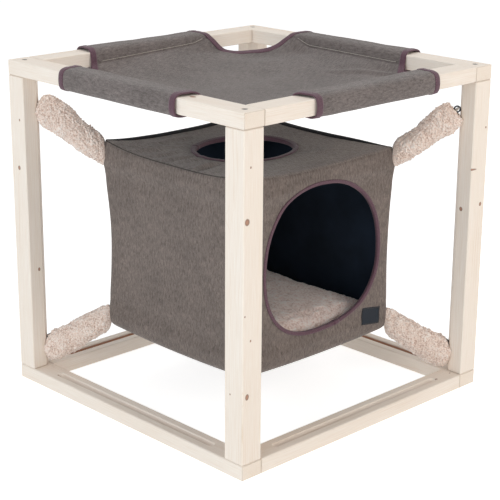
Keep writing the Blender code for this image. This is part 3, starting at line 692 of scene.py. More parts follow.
def melangeFinish(name, dark, light, contrast=1.0, upwardLight=None):
    # mottled two-tone yarn: thin streaks along the cloth's second direction, over a fine plain weave
    finish, tree, shader = newFinish(name, cloth["roughness"], specular=0.18, sheen=0.24)
    flat = clothPlace(tree)
    fine = noise(tree, flat, (1150, 260, 1), 3.0, 0.62)
    broad = noise(tree, flat, (360, 100, 1), move=(3.1, 7.7, 0))
    cloudy = noise(tree, coordinates(tree), 17, 3.0, 0.6)
    spread = 0.17 / contrast
    tone = rescaled(tree, mixed(tree, 0.42, fine, broad), 0.5 - spread, 0.5 + spread)
    colour = ramp(tree, tone, [(0.0, dark), (1.0, light)])
    colour = mixed(tree, 1.0, colour, rescaled(tree, cloudy, 0.3, 0.7, 0.87, 1.12), "MULTIPLY")
    if upwardLight:
        # painted light: the cloth that faces up is made paler, standing in for light that reaches the roof
        upper = rescaled(tree, separated(tree, coordinates(tree, "Normal"))[2], 0.60, 0.85)
        colour = mixed(tree, upper, colour, mixed(tree, 1.0, colour, (*upwardLight, 1), "MULTIPLY"))
    warp, weft = [bands(tree, flat, cloth["threadPitch"], direction) for direction in "XY"]
    weave = compute(tree, "ADD", compute(tree, "MAXIMUM", warp, weft), compute(tree, "MULTIPLY", fine, 1.4))
    painted(tree, shader, colour, weave, 0.00022, 0.6)
    return finish


def ribbedFinish(name, colour, worn, pitch, roughness=0.72, depth=0.00012):
    # a tape or cord covering with fine ribs across it, a little lighter where it is raised
    finish, tree, shader = newFinish(name, roughness, specular=0.25, sheen=0.2)
    ribs = bands(tree, clothPlace(tree), pitch, "DIAGONAL", 0.5)
    mottle = noise(tree, coordinates(tree), 420, 3.0, 0.6)
    shade = ramp(tree, mixed(tree, 0.45, mottle, ribs), [(0.28, colour), (0.8, worn)])
    painted(tree, shader, shade, compute(tree, "ADD", ribs, mottle), depth, 0.7)
    return finish


def pileFinish(name, shadedRoot, middle, tip, curl):
    # deep pile: painted shade between the tufts, and pale at their tips, from how far each point stands out
    finish, tree, shader = newFinish(name, 0.95, specular=0.1, sheen=0.8)
    height = addNode(tree, "Attribute", attribute_name="pile").outputs["Fac"]
    place = coordinates(tree)
    fibre = noise(tree, place, 2.4 / curl, 3.0, 0.65, distortion=0.8)
    drift = addNode(tree, "TexNoise", {"Vector": place, "Scale": 0.7 / curl, "Detail": 2.0}).outputs["Color"]
    wander = computeVector(tree, "MULTIPLY_ADD", drift, (curl * 0.9,) * 3, place)
    gap = addNode(tree, "TexVoronoi", {"Vector": wander, "Scale": 1 / curl}).outputs["Distance"]
    tuft = rescaled(tree, gap, 0.25, 0.85, 1.0, 0.0)
    blend = compute(tree, "ADD", compute(tree, "MULTIPLY", height, 0.38),
                    compute(tree, "MULTIPLY", mixed(tree, 0.45, tuft, fibre), 0.72))
    # the darkest stop is painted shade deep in the pile; the pale tips are the fleece's own
    shade = ramp(tree, blend, [(0.28, shadedRoot), (0.56, middle), (0.86, tip)])
    relief = compute(tree, "ADD", tuft, compute(tree, "MULTIPLY", fibre, 0.7))
    painted(tree, shader, shade, relief, 0.0007, 0.6)
    return finish


sheetCloth = melangeFinish("sheetCloth", cloth["sheetDark"], cloth["sheetLight"], 1.4)
houseCloth = melangeFinish("houseCloth", cloth["wallDark"], cloth["wallLight"], 1.35, cloth["roofPaintedLight"])
plumTape = ribbedFinish("plumTape", paint(74, 48, 60), paint(112, 80, 92), 0.0008)
plumThread = ribbedFinish("plumThread", paint(96, 66, 78), paint(136, 104, 116), 0.0005, 0.6)
greyThread = ribbedFinish("greyThread", paint(176, 168, 158), paint(216, 208, 198), 0.0005, 0.6)
blackCord = ribbedFinish("blackCord", paint(18, 18, 20), paint(44, 44, 47), 0.0009, 0.7)
seamThread = ribbedFinish("seamThread", paint(38, 33, 30), paint(66, 58, 53), 0.0006)


# Top hammock

top = {
    "half": 0.250,
    "seamOut": 0.2095,                   # where the tunnels are sewn, from the middle
    "level": 0.487,                      # where the sheet would lie if nothing pulled it
    "sag": 0.030,
    "cutOut": 0.135,                     # round each corner of the frame
    "cutStraight": 0.5,                  # how far the cut-outs are pulled straight
    "cornerDrop": 0.006,                 # the sheet hangs lower beside its cut-outs
    "tapeWidth": 0.0105,
    "tapeHalf": 0.0015,
    "clothThick": 0.0012,
    "clothInTape": 0.0012,
    # the sleeve's way round the rail: out from the centre, height
    "sleeve": [(0.2095, 0.4870), (0.2118, 0.4955), (0.2152, 0.5013), (0.2200, 0.5037), (0.2335, 0.5042),
               (0.2455, 0.5040), (0.2518, 0.5012), (0.2539, 0.4955), (0.2545, 0.4890), (0.2540, 0.4818),
               (0.2517, 0.4764), (0.2455, 0.4741), (0.2310, 0.4741), (0.2180, 0.4743), (0.2138, 0.4762),
               (0.2120, 0.4800), (0.2110, 0.4850)],
    # right, rear, left and front tunnel, each looked at from inside with its run going anticlockwise:
    # how far it slid along its rail, its length against the cut-outs' circles, the seam's height and slope,
    # and how far each end climbs
    "slid": (0.0040, 0.0055, 0.0018, 0.0002),
    "tunnelGrow": (1.017, 1.004, 1.070, 1.080),
    "seamHeight": (0.4860, 0.4862, 0.4875, 0.4875),
    "seamSlope": (0.0146, -0.0380, 0.0, 0.0),
    "climb": ((0.0, 0.0110), (0.0085, 0.0), (0.0, 0.0), (0.0, 0.0)),
    "climbReach": (0.030, 0.013, 0.013, 0.013),
    "sleeveSteps": 72,
}
sheetFolds = [
    ((0.150, 0.095), (0.095, 0.150), 0.016, 0.0022), ((0.120, 0.075), (0.070, 0.125), 0.020, 0.0018),
    ((-0.160, 0.085), (-0.085, 0.155), 0.014, 0.0024), ((-0.125, 0.070), (-0.060, 0.130), 0.018, 0.0020),
    ((-0.155, -0.090), (-0.090, -0.155), 0.015, 0.0020), ((0.155, -0.095), (0.090, -0.150), 0.015, 0.0020),
    ((-0.185, 0.060), (-0.110, 0.045), 0.010, 0.0014), ((-0.170, 0.010), (-0.060, 0.030), 0.016, 0.0018),
    ((-0.120, -0.020), (0.010, 0.060), 0.020, 0.0022), ((0.175, 0.045), (0.060, 0.020), 0.018, 0.0016),
    ((0.020, 0.170), (0.050, 0.080), 0.014, 0.0014), ((-0.030, -0.180), (-0.050, -0.090), 0.014, 0.0014),
    ((0.158, -0.014), (0.199, -0.126), 0.0055, 0.0036), ((-0.105, 0.195), (0.10, 0.196), 0.0030, 0.0006),
]
# the ways out to the right, rear, left and front tunnel
outward = [np.array(way, float) for way in ((1, 0), (0, 1), (-1, 0), (0, -1))]


def seamLevel(side, along):
    return top["seamHeight"][side] + top["seamSlope"][side] * along


def sheetHeight(x, y):
    u, v = np.minimum(1, np.abs(x) / top["seamOut"]), np.minimum(1, np.abs(y) / top["seamOut"])
    weights, height, rise = 1e-4, top["level"] * 1e-4, 0.0
    for side in range(4):
        out = x * outward[side][0] + y * outward[side][1]
        along = x * outward[(side + 1) % 4][0] + y * outward[(side + 1) % 4][1]
        weight = np.clip(out / top["seamOut"], 0, 1.2) ** 6
        height = height + weight * seamLevel(side, along)
        weights = weights + weight
        near = np.exp(-((out - top["seamOut"]) / top["climbReach"][side]) ** 2)
        for end, climb in zip((-1, 1), top["climb"][side]):
            rise = rise + climb * near * smoothShare(along * end, 0.075, 0.122)
    far, close = np.maximum(np.abs(x), np.abs(y)), np.minimum(np.abs(x), np.abs(y))
    drop = smoothShare(far + close, 0.22, 0.32) * smoothShare(top["seamOut"] - far, 0, 0.018)
    drop = top["cornerDrop"] * drop * (1 - 0.6 * smoothShare(close, 0.130, 0.160))
    height = height / weights - top["sag"] * (1 - u ** 3) * (1 - v ** 3) + rise - drop
    inside = smoothShare(1 - np.maximum(u, v), 0.01, 0.10)
    soft = 0.0019 * noiseAt(x, y, 0.0, 0.062, 3) + 0.0006 * noiseAt(x, y, 0.0, 0.021, 5)
    return height + inside * (soft + creased(x, y, sheetFolds))


def tunnelEnd(out, radius):
    # how far from the rail's middle the cut-out reaches, at a distance out from the centre
    return top["half"] - np.sqrt(radius ** 2 - (top["half"] - np.minimum(out, top["half"])) ** 2)


def onSide(side, out, along, height):
    place = out[..., None] * outward[side] + along[..., None] * outward[(side + 1) % 4]
    return np.concatenate([place, height[..., None]], -1)


def sleeveRow(side, share, radius):
    # one turn of a tunnel's cloth; share runs from -1 at one end to 1 at the other
    way = np.array(top["sleeve"])
    share = share * top["tunnelGrow"][side]
    middle = tunnelEnd(top["seamOut"], radius) * share + top["slid"][side]
    start = sheetHeight(*(top["seamOut"] * outward[side] + middle * outward[(side + 1) % 4]))
    squeeze = (way[3, 1] - start) / (way[3, 1] - way[0, 1])
    way[:3, 1] = way[3, 1] - (way[3, 1] - way[:3, 1]) * squeeze
    keys = distances(way)
    at = np.linspace(0, keys[-1], top["sleeveSteps"])
    path = through(keys, way, at)
    along = tunnelEnd(path[:, 0], radius) * share + top["slid"][side]
    ripple = 0.00035 * noiseAt(at, along, side, 0.020, 8) + 0.00045 * noiseAt(at * 0.4, along, side, 0.034, 9)
    fade = smoothShare(at, 0.006, 0.020) * smoothShare(at[-1] - at, 0.004, 0.02)
    around = unit(np.gradient(path, axis=0))
    out = np.stack([-around[:, 1], around[:, 0]], 1)
    path = path + out * (ripple * fade)[:, None]
    return onSide(side, path[:, 0], along, path[:, 1]), onSide(side, out[:, 0], 0 * along, out[:, 1]), at


def cutArc(corner, radius, steps):
    # the cut-out's edge on the sheet, from the tunnel before the corner to the one after it
    first = math.asin((top["half"] - top["seamOut"]) / radius)
    turns = np.linspace(first, math.pi / 2 - first, steps)
    p, q = top["half"] - radius * np.sin(turns), top["half"] - radius * np.cos(turns)
    share = np.linspace(0, 1, steps)
    chordP, chordQ = p[0] + (p[-1] - p[0]) * share, q[0] + (q[-1] - q[0]) * share
    straight = top["cutStraight"]
    p, q = p + (chordP - p) * straight, q + (chordQ - q) * straight
    end, after = tunnelEnd(top["seamOut"], radius), (corner + 1) % 4
    q = q + (top["slid"][corner] + end * (top["tunnelGrow"][corner] - 1)) * (1 - smoothShare(share, 0, 1))
    p = p + (end * (top["tunnelGrow"][after] - 1) - top["slid"][after]) * smoothShare(share, 0, 1)
    return p[:, None] * outward[corner] + q[:, None] * outward[(corner + 1) % 4]


def makeSheet():
    radius = top["cutOut"] + top["clothInTape"]
    straight = tunnelEnd(top["seamOut"], radius)
    shares = np.sin(np.linspace(-1, 1, 45) * math.pi / 2 * 0.96) / math.sin(math.pi / 2 * 0.96)
    rim = []
    for side in range(4):
        along = straight * shares * top["tunnelGrow"][side] + top["slid"][side]
        rim.append(top["seamOut"] * outward[side] + along[:, None] * outward[(side + 1) % 4])
        rim.append(cutArc(side, radius, 38)[1:-1])
    rim = np.vstack(rim)
    scales = np.concatenate([np.linspace(1, 0.86, 17), np.linspace(0.86, 0.03, 56)[1:]])
    x, y = scales[:, None] * rim[:, 0], scales[:, None] * rim[:, 1]
    z = sheetHeight(x, y)
    # close to a seam the cloth is drawn into small puckers between the stitches
    seam, near = top["seamOut"], np.maximum(np.abs(x), np.abs(y))
    along = np.where(np.abs(x) > np.abs(y), y, x)
    onSeam = smoothShare(near, seam - 0.022, seam - 0.004) * (1 - smoothShare(near, seam - 0.002, seam))
    z = z + 0.0004 * onSeam * noiseAt(along, near * 0.2, 0.0, 0.0065, 2)
    patches = [patch(np.stack([x, y, z], -1), wrapped(np.stack([y, x], -1)), closeColumns=True)]
    hub = np.array([0, 0, sheetHeight(np.zeros(1), np.zeros(1))[0]])
    patches.append(fan(patches[0][0][-len(rim):], hub))
    for side in range(4):
        rows, _, at = map(np.array, zip(*[sleeveRow(side, share, radius) for share in shares]))
        along = (straight * shares + 0.37 * side)[:, None]
        patches.append(patch(rows, np.stack(np.broadcast_arrays(at, along), -1)))
    sheet = sewn("hammockSheet", patches, weld=4e-5)
    thickened(sheet, top["clothThick"], 0.0)
    return dress(sheet, sheetCloth, ["hammock_sheet"], "frame")


def sheetNormals(x, y):
    step = 0.0015
    slopeX = (sheetHeight(x + step, y) - sheetHeight(x - step, y)) / (2 * step)
    slopeY = (sheetHeight(x, y + step) - sheetHeight(x, y - step)) / (2 * step)
    return unit(np.stack([-slopeX, -slopeY, np.ones_like(x)], -1))


def cutEdge(corner, radius):
    # a cut-out's whole edge: up round one rail, across the sheet, round the next rail
    before, beforeOut, _ = sleeveRow(corner, 1.0, radius)
    after, afterOut, _ = sleeveRow((corner + 1) % 4, -1.0, radius)
    arc = cutArc(corner, radius, 46)[1:-1]
    across = np.concatenate([arc, sheetHeight(arc[:, 0], arc[:, 1])[:, None]], 1)
    edge = np.vstack([before[::-1], across, after])
    return edge, np.vstack([beforeOut[::-1], sheetNormals(arc[:, 0], arc[:, 1]), afterOut])


def smoothed(values, rounds):
    values = values.copy()
    for _ in range(rounds):
        values[1:-1] = values[1:-1] * 0.5 + (values[:-2] + values[2:]) * 0.25
    return values


def makeHammockTape(number, corner):
    free, out = cutEdge(number, top["cutOut"])
    sewnEdge, _ = cutEdge(number, top["cutOut"] + 0.004)
    free, out, sewnEdge = smoothed(free, 4), unit(smoothed(out, 6)), smoothed(sewnEdge, 4)
    into = sewnEdge - free
    into = unit(into - out * np.sum(into * out, 1)[:, None])
    size = top["tapeWidth"], top["tapeHalf"]
    tape = sewn("hammockTape_" + corner, foldedTape(free, into, out, *size, seed=11 + number))
    dress(tape, plumTape, ["hammock_binding_" + corner], "frame")
    row = sewn("hammockTapeThread_" + corner, tapeStitches(free, into, out, *size))
    return [tape, dress(row, plumThread, body="frame")]


def makeTunnelThread():
    # the line of stitches that closes each tunnel, a little above the sheet
    patches, radius = [], top["cutOut"] + top["tapeWidth"]
    for side in range(4):
        rows = [sleeveRow(side, share, radius) for share in np.linspace(-0.94, 0.94, 60)]
        place, out = [np.array([row[k][2] for row in rows]) for k in (0, 1)]
        patches += stitches(place + out * 0.0007, out)
    return dress(sewn("tunnelThread", patches), greyThread, body="frame")


sheet = makeSheet()
onSheet = [makeTunnelThread()]
for number, corner in enumerate(("rear_right", "rear_left", "front_left", "front_right")):
    onSheet += makeHammockTape(number, corner)
print("the sheet hangs from its four tunnels")


# Hanging house

house = {
    "half": 0.150,
    "top": 0.370,
    "bottom": 0.081,
    "topEdge": 0.006,
    "bottomEdge": 0.014,
    "cornerPull": 0.0058,
    "straightEdge": 0.0021,
    "roofLift": 0.0135,
    "floorLift": 0.006,
    "floorSag": 0.003,
    "shell": 0.0016,
    "lining": 0.0010,
    "layerGap": 0.0003,
    "tapeWidth": 0.006,
    "tapeProud": 0.0012,
    "roofTapeProud": 0.0022,
    "clothInTape": 0.0010,
    "entrance": (0.0058, 0.2340),        # middle, across and up
    "entranceRadii": (0.1231, 0.1155),
    "entranceFullness": 2.33,
    "entranceLean": (-0.0105, -0.0144, 0.0119),
    "roofHole": 0.083,
    "roofHoleAt": (-0.005, 0.003),
    "roofHoleOval": (0.0055, 15),        # how much longer one way, and which way in degrees
    "roofTapeWidth": 0.0085,
    "lowCorner": 0.0072,                 # the roof's front right corner hangs lower
    # soft bands round the walls: level, width and height, then the dip beside it: level, width, share
    "bands": [(0.3475, 0.0085, 0.0019, 0.327, 0.012, 0.8), (0.1085, 0.0085, 0.0021, 0.128, 0.011, 0.9)],
    "steps": 60,
}
houseMiddle = (house["top"] + house["bottom"]) / 2
houseHalfHeight = (house["top"] - house["bottom"]) / 2
wallThick = house["shell"] + house["layerGap"] + house["lining"]
roofFolds = [
    ((-0.140, 0.024), (-0.082, 0.015), 0.0052, -0.0058), ((-0.136, 0.010), (-0.090, 0.003), 0.0052, 0.0040),
    ((-0.150, -0.048), (-0.089, -0.036), 0.0052, -0.006), ((-0.140, -0.034), (-0.090, -0.024), 0.005, 0.0040),
    ((-0.142, 0.098), (-0.104, 0.080), 0.0070, 0.0052), ((-0.140, 0.053), (-0.100, 0.050), 0.0060, -0.0048),
    ((-0.078, 0.116), (-0.016, 0.118), 0.0095, 0.0045), ((0.032, -0.075), (0.102, -0.090), 0.0100, 0.0016),
    ((-0.036, -0.084), (-0.062, -0.146), 0.006, 0.0014), ((-0.138, 0.138), (-0.062, 0.070), 0.0080, 0.0024),
    ((-0.120, 0.142), (-0.046, 0.088), 0.0090, 0.0016), ((-0.143, 0.115), (-0.082, 0.050), 0.0065, 0.0018),
    ((0.138, -0.138), (0.064, -0.064), 0.014, 0.0012), ((0.138, 0.138), (0.066, 0.064), 0.014, 0.0011),
    ((-0.138, -0.138), (-0.070, -0.075), 0.010, 0.0010), ((0.142, -0.050), (0.088, -0.020), 0.010, 0.0007),
]


def frontRight(u, v):
    return smoothShare(u, 0.3, 1.0) * smoothShare(-v, 0.3, 1.0)


def cornerPull(u, v, w):
    # the arms pull the corners out; the front right edge stands straighter than the others
    straighter = house["straightEdge"] * (1 - w ** 2) * frontRight(u, v)
    return house["cornerPull"] * 1.45 * w ** 2 * (1 - 0.72 * w ** 8) + straighter


def houseRise(u, v, w):
    share = (w + 1) / 2
    lift = house["floorLift"] + (house["roofLift"] - house["floorLift"]) * share
    lift = lift - house["lowCorner"] * share * frontRight(u, v)
    return lift * np.abs(u * v) ** (2 + share) - house["floorSag"] * (1 - share) * (1 - u * u) * (1 - v * v)


def houseRelief(points, out):
    # how far the cloth stands off the plain form: soft bands, creases and slight waves
    x, y, z = points[..., 0], points[..., 1], points[..., 2]
    wall, roof = np.hypot(out[..., 0], out[..., 1]) ** 4, np.clip(out[..., 2], 0, 1) ** 4
    across = np.where(np.abs(out[..., 0]) > np.abs(out[..., 1]), y, x)
    inner = 1 - smoothShare(np.abs(across), 0.118, 0.150)
    relief, wander = 0.0, 0.004 * noiseAt(x, y, 0.0, 0.09, 21)
    for level, width, height, dipLevel, dipWidth, dip in house["bands"]:
        ridge = np.exp(-((z - level - wander) / width) ** 2)
        relief = relief + height * (ridge - dip * np.exp(-((z - dipLevel - wander) / dipWidth) ** 2))
    relief = wall * (0.4 + 0.6 * inner) * relief
    relief = relief + wall * (0.0012 * fieldNoise(points, 0.085, 22) + 0.0004 * fieldNoise(points, 0.030, 23))
    around = np.hypot(x - house["roofHoleAt"][0], y - house["roofHoleAt"][1])
    hem = 0.35 + 0.65 * smoothShare(around, 0.084, 0.102)
    relief = relief + roof * hem * (creased(x, y, roofFolds) + 0.0007 * fieldNoise(points, 0.050, 24))
    return relief


def housePoints(a, b, c, inset=0.0, bare=False):
    # points of the house's skin from points of the cube from -1 to 1, and the way out of it
    half = np.array((house["half"] - inset, house["half"] - inset, houseHalfHeight - inset))
    edge = house["bottomEdge"] + (house["topEdge"] - house["bottomEdge"]) * (np.asarray(c, float) + 1) / 2
    point, out = roundedBox(a, b, c, half, edge[..., None])
    u, v, w = [point[..., k] / half[k] for k in range(3)]
    pull = cornerPull(u, v, w)
    placed = np.stack([point[..., 0] + pull * u * v * v, point[..., 1] + pull * v * u * u,
                       houseMiddle + point[..., 2] + houseRise(u, v, w)], -1)
    if not bare:
        placed = placed + out * houseRelief(placed + out * inset, out)[..., None]
    return placed, out


def frontCube(x, z):
    # the cube's across and up for a place on the flat of the front wall
    a, c = x / house["half"], (z - houseMiddle) / houseHalfHeight
    for _ in range(8):
        a = x / (house["half"] + cornerPull(a, -1.0, c))
        c = (z - houseMiddle - houseRise(a, -1.0, c)) / houseHalfHeight
    return a, c


def roofCube(x, y):
    a, b = x / house["half"], y / house["half"]
    for _ in range(8):
        pull = cornerPull(a, b, 1.0)
        a, b = x / (house["half"] + pull * b * b), y / (house["half"] + pull * a * a)
    return a, b


def entranceEdge(directionX, directionZ, grow):
    # the entrance's outline in a direction from its middle
    rx, rz = [radius + grow for radius in house["entranceRadii"]]
    power = house["entranceFullness"]
    reach = (np.abs(directionX / rx) ** power + np.abs(directionZ / rz) ** power) ** (-1 / power)
    turn = np.arctan2(directionZ, directionX)
    lean = house["entranceLean"]
    reach = reach * (1 + lean[0] * np.sin(2 * turn) + lean[1] * np.sin(3 * turn) + lean[2] * np.cos(3 * turn))
    return house["entrance"][0] + directionX * reach, house["entrance"][1] + directionZ * reach


def squareRim(steps):
    # once round the square from -1 to 1, anticlockwise
    run = steps[:-1]
    return np.concatenate([np.stack([run, 0 * run - 1], 1), np.stack([0 * run + 1, run], 1),
                           np.stack([-run, 0 * run + 1], 1), np.stack([0 * run - 1, -run], 1)])


def holedWall(rim, hole, rows, place, clothAxes):
    # a wall with a hole: rows of points from the hole's edge out to the wall's edge
    share = (1 - (1 - np.linspace(0, 1, rows)) ** 1.25)[:, None, None]
    grid = np.stack(hole, 1) * (1 - share) + rim * share
    points = place(grid[..., 0], grid[..., 1])
    return patch(points, wrapped(points[..., clothAxes]), closeColumns=True)


def houseSkin(name, inset, thickness, steps, rows):
    lattice = cubeSteps(steps)
    patches = cubeWalls(lattice, lambda a, b, c: housePoints(a, b, c, inset)[0], leftOut=((1, -1), (2, 1)))
    rim = squareRim(lattice)
    # the front wall is open at the entrance and the roof at its round hole
    dx = rim[:, 0] * house["half"] - house["entrance"][0]
    dz = rim[:, 1] * houseHalfHeight + houseMiddle - house["entrance"][1]
    hole = frontCube(*entranceEdge(dx, dz, house["clothInTape"] - house["tapeWidth"]))
    patches.append(holedWall(rim, hole, rows, lambda a, c: housePoints(a, -1.0, c, inset)[0], [0, 2]))
    turns = np.arctan2(rim[:, 1], rim[:, 0])
    hole = roofCube(*roofOutline(turns, house["clothInTape"] - house["roofTapeWidth"]))
    patches.append(holedWall(rim, hole, rows, lambda a, b: housePoints(a, b, 1.0, inset)[0], [0, 1]))
    return thickened(sewn(name, patches, weld=3e-5), thickness)


def darkFinish():
    # near-black woven lining with a faint sheen
    finish, tree, shader = newFinish("darkLining", 0.88, specular=0.2, sheen=0.08)
    fine = noise(tree, clothPlace(tree), (900, 900, 1), roughness=0.6)
    tone = mixed(tree, 0.5, fine, noise(tree, coordinates(tree), 24))
    colour = ramp(tree, tone, [(0.3, paint(18, 28, 41)), (0.7, paint(38, 52, 71))])
    painted(tree, shader, colour, fine, 0.0002, 0.5)
    return finish


def frontSpot(x, z, inset):
    a, c = frontCube(x, z)
    return housePoints(a, -1.0, c, inset)


def roofSpot(x, y, inset):
    a, b = roofCube(x, y)
    return housePoints(a, b, 1.0, inset)


def makeHoleTape(name, nodeName, outline, spot, width, proud, overlapAt):
    # outline gives the hole's edge for turns and an offset; the tape lies inside the cloth's edge line
    turns = np.linspace(0, 2 * math.pi, 200, endpoint=False)
    half = wallThick / 2 + proud
    inner, out = spot(*outline(turns, -width), wallThick / 2)
    outer, _ = spot(*outline(turns, 0.0), wallThick / 2)
    into = unit(outer - inner)
    patches = foldedTape(inner, into, out, width, half, closed=True, seed=31)
    # the tape's end laps over its beginning
    lap = np.abs((turns - overlapAt + math.pi) % (2 * math.pi) - math.pi) < 0.055
    patches += foldedTape(inner[lap] - into[lap] * 0.0004, into[lap], out[lap], width + 0.0007,
                          half + 0.00055, seed=33)
    tape = dress(sewn(name, patches), plumTape, [nodeName], "house")
    rows = tapeStitches(inner, into, out, width, half, closed=True, setBack=0.0012)
    return [tape, dress(sewn(name + "Thread", rows), plumThread, body="house")]


def entranceOutline(turns, grow):
    return entranceEdge(np.cos(turns), np.sin(turns), grow)


def roofOutline(turns, grow):
    longer, way = house["roofHoleOval"]
    radius = house["roofHole"] + grow + longer * np.cos(2 * (turns - math.radians(way)))
    x, y = house["roofHoleAt"]
    return x + radius * np.cos(turns), y + radius * np.sin(turns)


piping = {"thin": 0.0009, "thick": 0.0037, "seam": 0.0008, "lift": 0.0028}


def roofEdgePath(points, lift):
    # the roof's edge between cube points, just outside the cloth
    a, b = np.array(points, float).T
    placed, out = housePoints(a, b, 1.0, -0.0002)
    return placed + out * np.asarray(lift)[..., None]


def makePiping():
    run = cubeSteps(60)
    inside = run[(run > -0.985) & (run < 0.985)]
    rearAndRight = [(t, 1.0) for t in inside] + [(1.0, t) for t in inside[::-1]]
    share = np.linspace(0, 1, len(rearAndRight))
    full = smoothShare(share, -0.03, 0.17) * (1 - smoothShare(share, 0.80, 1.0))
    radius = piping["thin"] + (piping["thick"] - piping["thin"]) * full
    cord = sewn("roofPiping", tube(roofEdgePath(rearAndRight, piping["lift"] * full), radius, 12))
    dress(cord, blackCord, ["roof_piping"], "house")
    seam = sewn("roofLeftSeam", tube(roofEdgePath([(-1.0, t) for t in inside], 0.0001), piping["seam"]))
    return [cord, dress(seam, seamThread, body="house")]


label = {
    "middle": (0.1118, 0.1188), "size": (0.038, 0.0256), "turnDegrees": -8.0, "lean": 0.08, "thick": 0.0008,
    "colour": paint(13, 20, 30), "worn": paint(29, 40, 53), "border": 0.0016,
}


def labelFinish():
    finish, tree, shader = newFinish("bareLabel", 0.7, specular=0.3, sheen=0.1)
    flat = clothPlace(tree)
    mottle = noise(tree, flat, (700, 260, 1), 3.0, 0.6)
    tone = mixed(tree, 0.6, bands(tree, flat, 0.00045, distortion=0.3), mottle)
    painted(tree, shader, ramp(tree, tone, [(0.3, label["colour"]), (0.8, label["worn"])]), tone, 0.0001, 0.6)
    return finish


def labelPlace(u, v):
    turn = math.radians(label["turnDegrees"])
    u = u + label["lean"] * v
    x = label["middle"][0] + u * math.cos(turn) - v * math.sin(turn)
    z = label["middle"][1] + u * math.sin(turn) + v * math.cos(turn)
    return frontSpot(x, z, 0.0)


def makeLabel():
    wide, high = np.array(label["size"]) / 2
    u, v = np.meshgrid(wide * np.sin(np.linspace(-1, 1, 31) * math.pi / 2),
                       high * np.sin(np.linspace(-1, 1, 23) * math.pi / 2), indexing="ij")
    place, out = labelPlace(u, v)
    rim = np.minimum(wide - np.abs(u), high - np.abs(v))
    groove = 0.00018 * np.exp(-((rim - label["border"]) / 0.0004) ** 2)
    height = 0.0002 + (label["thick"] - 0.0002) * quarterRound(rim / 0.0006) - groove
    face, back = place + out * height[..., None], place + out * 0.00012
    flat = np.stack([u, v], -1)
    patches = [patch(face, flat), patch(back, flat)]
    for line in ((slice(None), 0), (slice(None), -1), (0, slice(None)), (-1, slice(None))):
        patches.append(patch(np.stack([face[line], back[line]]), np.stack([flat[line], flat[line]])))
    plate = sewn("houseLabel", patches, weld=1e-6)
    dress(plate, labelFinish(), ["house_label"], "house")
    wide, high = wide - label["border"], high - label["border"]
    way = evenly([(a * wide, b * high, 0) for a, b in ((-1, -1), (1, -1), (1, 1), (-1, 1), (-1, -1))], 0.001)
    place, out = labelPlace(way[:, 0], way[:, 1])
    row = sewn("houseLabelThread", stitches(place + out * (label["thick"] - 0.00012), out))
    return [plate, dress(row, seamThread, body="house")]


shell = houseSkin("houseShell", 0.0, house["shell"], house["steps"], 44)
dress(shell, houseCloth, ["house_shell"], "house")
lining = houseSkin("houseLining", house["shell"] + house["layerGap"], house["lining"], 36, 26)
dress(lining, darkFinish(), ["house_lining"], "house")
onHouse = makeHoleTape("entranceTape", "entrance_binding", entranceOutline, frontSpot, house["tapeWidth"],
                       house["tapeProud"], math.radians(-73))
onHouse += makeHoleTape("roofTape", "roof_binding", roofOutline, roofSpot, house["roofTapeWidth"],
                        house["roofTapeProud"], math.radians(128))
onHouse += makePiping() + makeLabel()
print("the house has its shell, lining, tapes, piping and label")


# Cushion

cushion = {
    "half": 0.1415, "top": 0.1310, "crown": 0.006, "drawIn": 0.004, "edge": 0.011, "clearance": 0.0006,
    # it is made a little smaller, then filled; no point moves farther than swell
    "shrink": 0.003, "swell": 0.005, "pressure": 4.0, "frames": 20, "voxel": 0.006,
    "pile": [(0.0120, 0.0007), (0.0040, 0.0007)],
    "shadedRoot": paint(204, 174, 163), "middle": paint(246, 222, 213), "tip": paint(254, 245, 240), "curl": 0.0030,
}


def floorHeight(x, y):
    return house["bottom"] + wallThick + houseRise(x / house["half"], y / house["half"], -1.0)


def cushionPoints(a, b, c):
    base, shrink = house["bottom"] + wallThick, cushion["shrink"]
    reach = cushion["half"] - shrink
    halfHeight = (cushion["top"] - base) / 2 - shrink / 2
    point, _ = roundedBox(a, b, c, np.array((reach, reach, halfHeight)), cushion["edge"])
    u, v = point[..., 0] / reach, point[..., 1] / reach
    x = point[..., 0] - cushion["drawIn"] * u * (1 - v * v)
    y = point[..., 1] - cushion["drawIn"] * v * (1 - u * u)
    share = (point[..., 2] / halfHeight + 1) / 2
    crown = cushion["crown"] * (1 - u ** 4) * (1 - v ** 4)
    under = floorHeight(x, y) - base + cushion["clearance"]
    z = base + shrink / 2 + halfHeight + point[..., 2] + crown * share + under * (1 - share)
    return np.stack([x, y, z], -1)


def swell(piece):
    # lets a closed cloth form fill with air, then holds each point to a small move
    remesh = piece.modifiers.new("remesh", "REMESH")
    remesh.mode = "VOXEL"
    remesh.voxel_size = cushion["voxel"]
    settle(piece)
    start = readPoints(piece)
    soft = piece.modifiers.new("soft", "CLOTH")
    soft.settings.use_pressure = True
    soft.settings.uniform_pressure_force = cushion["pressure"]
    soft.settings.effector_weights.gravity = 0
    soft.settings.quality = 5
    scene, frames = bpy.context.scene, cushion["frames"]
    scene.frame_start, scene.frame_end = 1, frames
    soft.point_cache.frame_start, soft.point_cache.frame_end = 1, frames
    for number in range(1, frames + 1):
        scene.frame_set(number)
    settle(piece)
    scene.frame_set(1)
    move = readPoints(piece) - start
    far = np.linalg.norm(move, axis=1, keepdims=True)
    movePoints(piece, start + move * np.minimum(1, cushion["swell"] / np.maximum(far, 1e-9)))


def addPile(piece, sizes, reach):
    # tufts: each point moves along its normal, and remembers how far for the finish
    points, normals = readPoints(piece), readPoints(piece, "normal")
    height = np.zeros(len(points))
    for number, (size, depth) in enumerate(sizes):
        height += depth * (2.6 * np.abs(fieldNoise(points, size, 40 + number)) - 0.75)
    height = height * reach(points, normals)
    movePoints(piece, points + normals * height[:, None])
    layer = piece.data.attributes.new("pile", "FLOAT", "POINT")
    total = sum(depth for _, depth in sizes)
    layer.data.foreach_set("value", (0.5 + 0.5 * height / total).astype(np.float32))


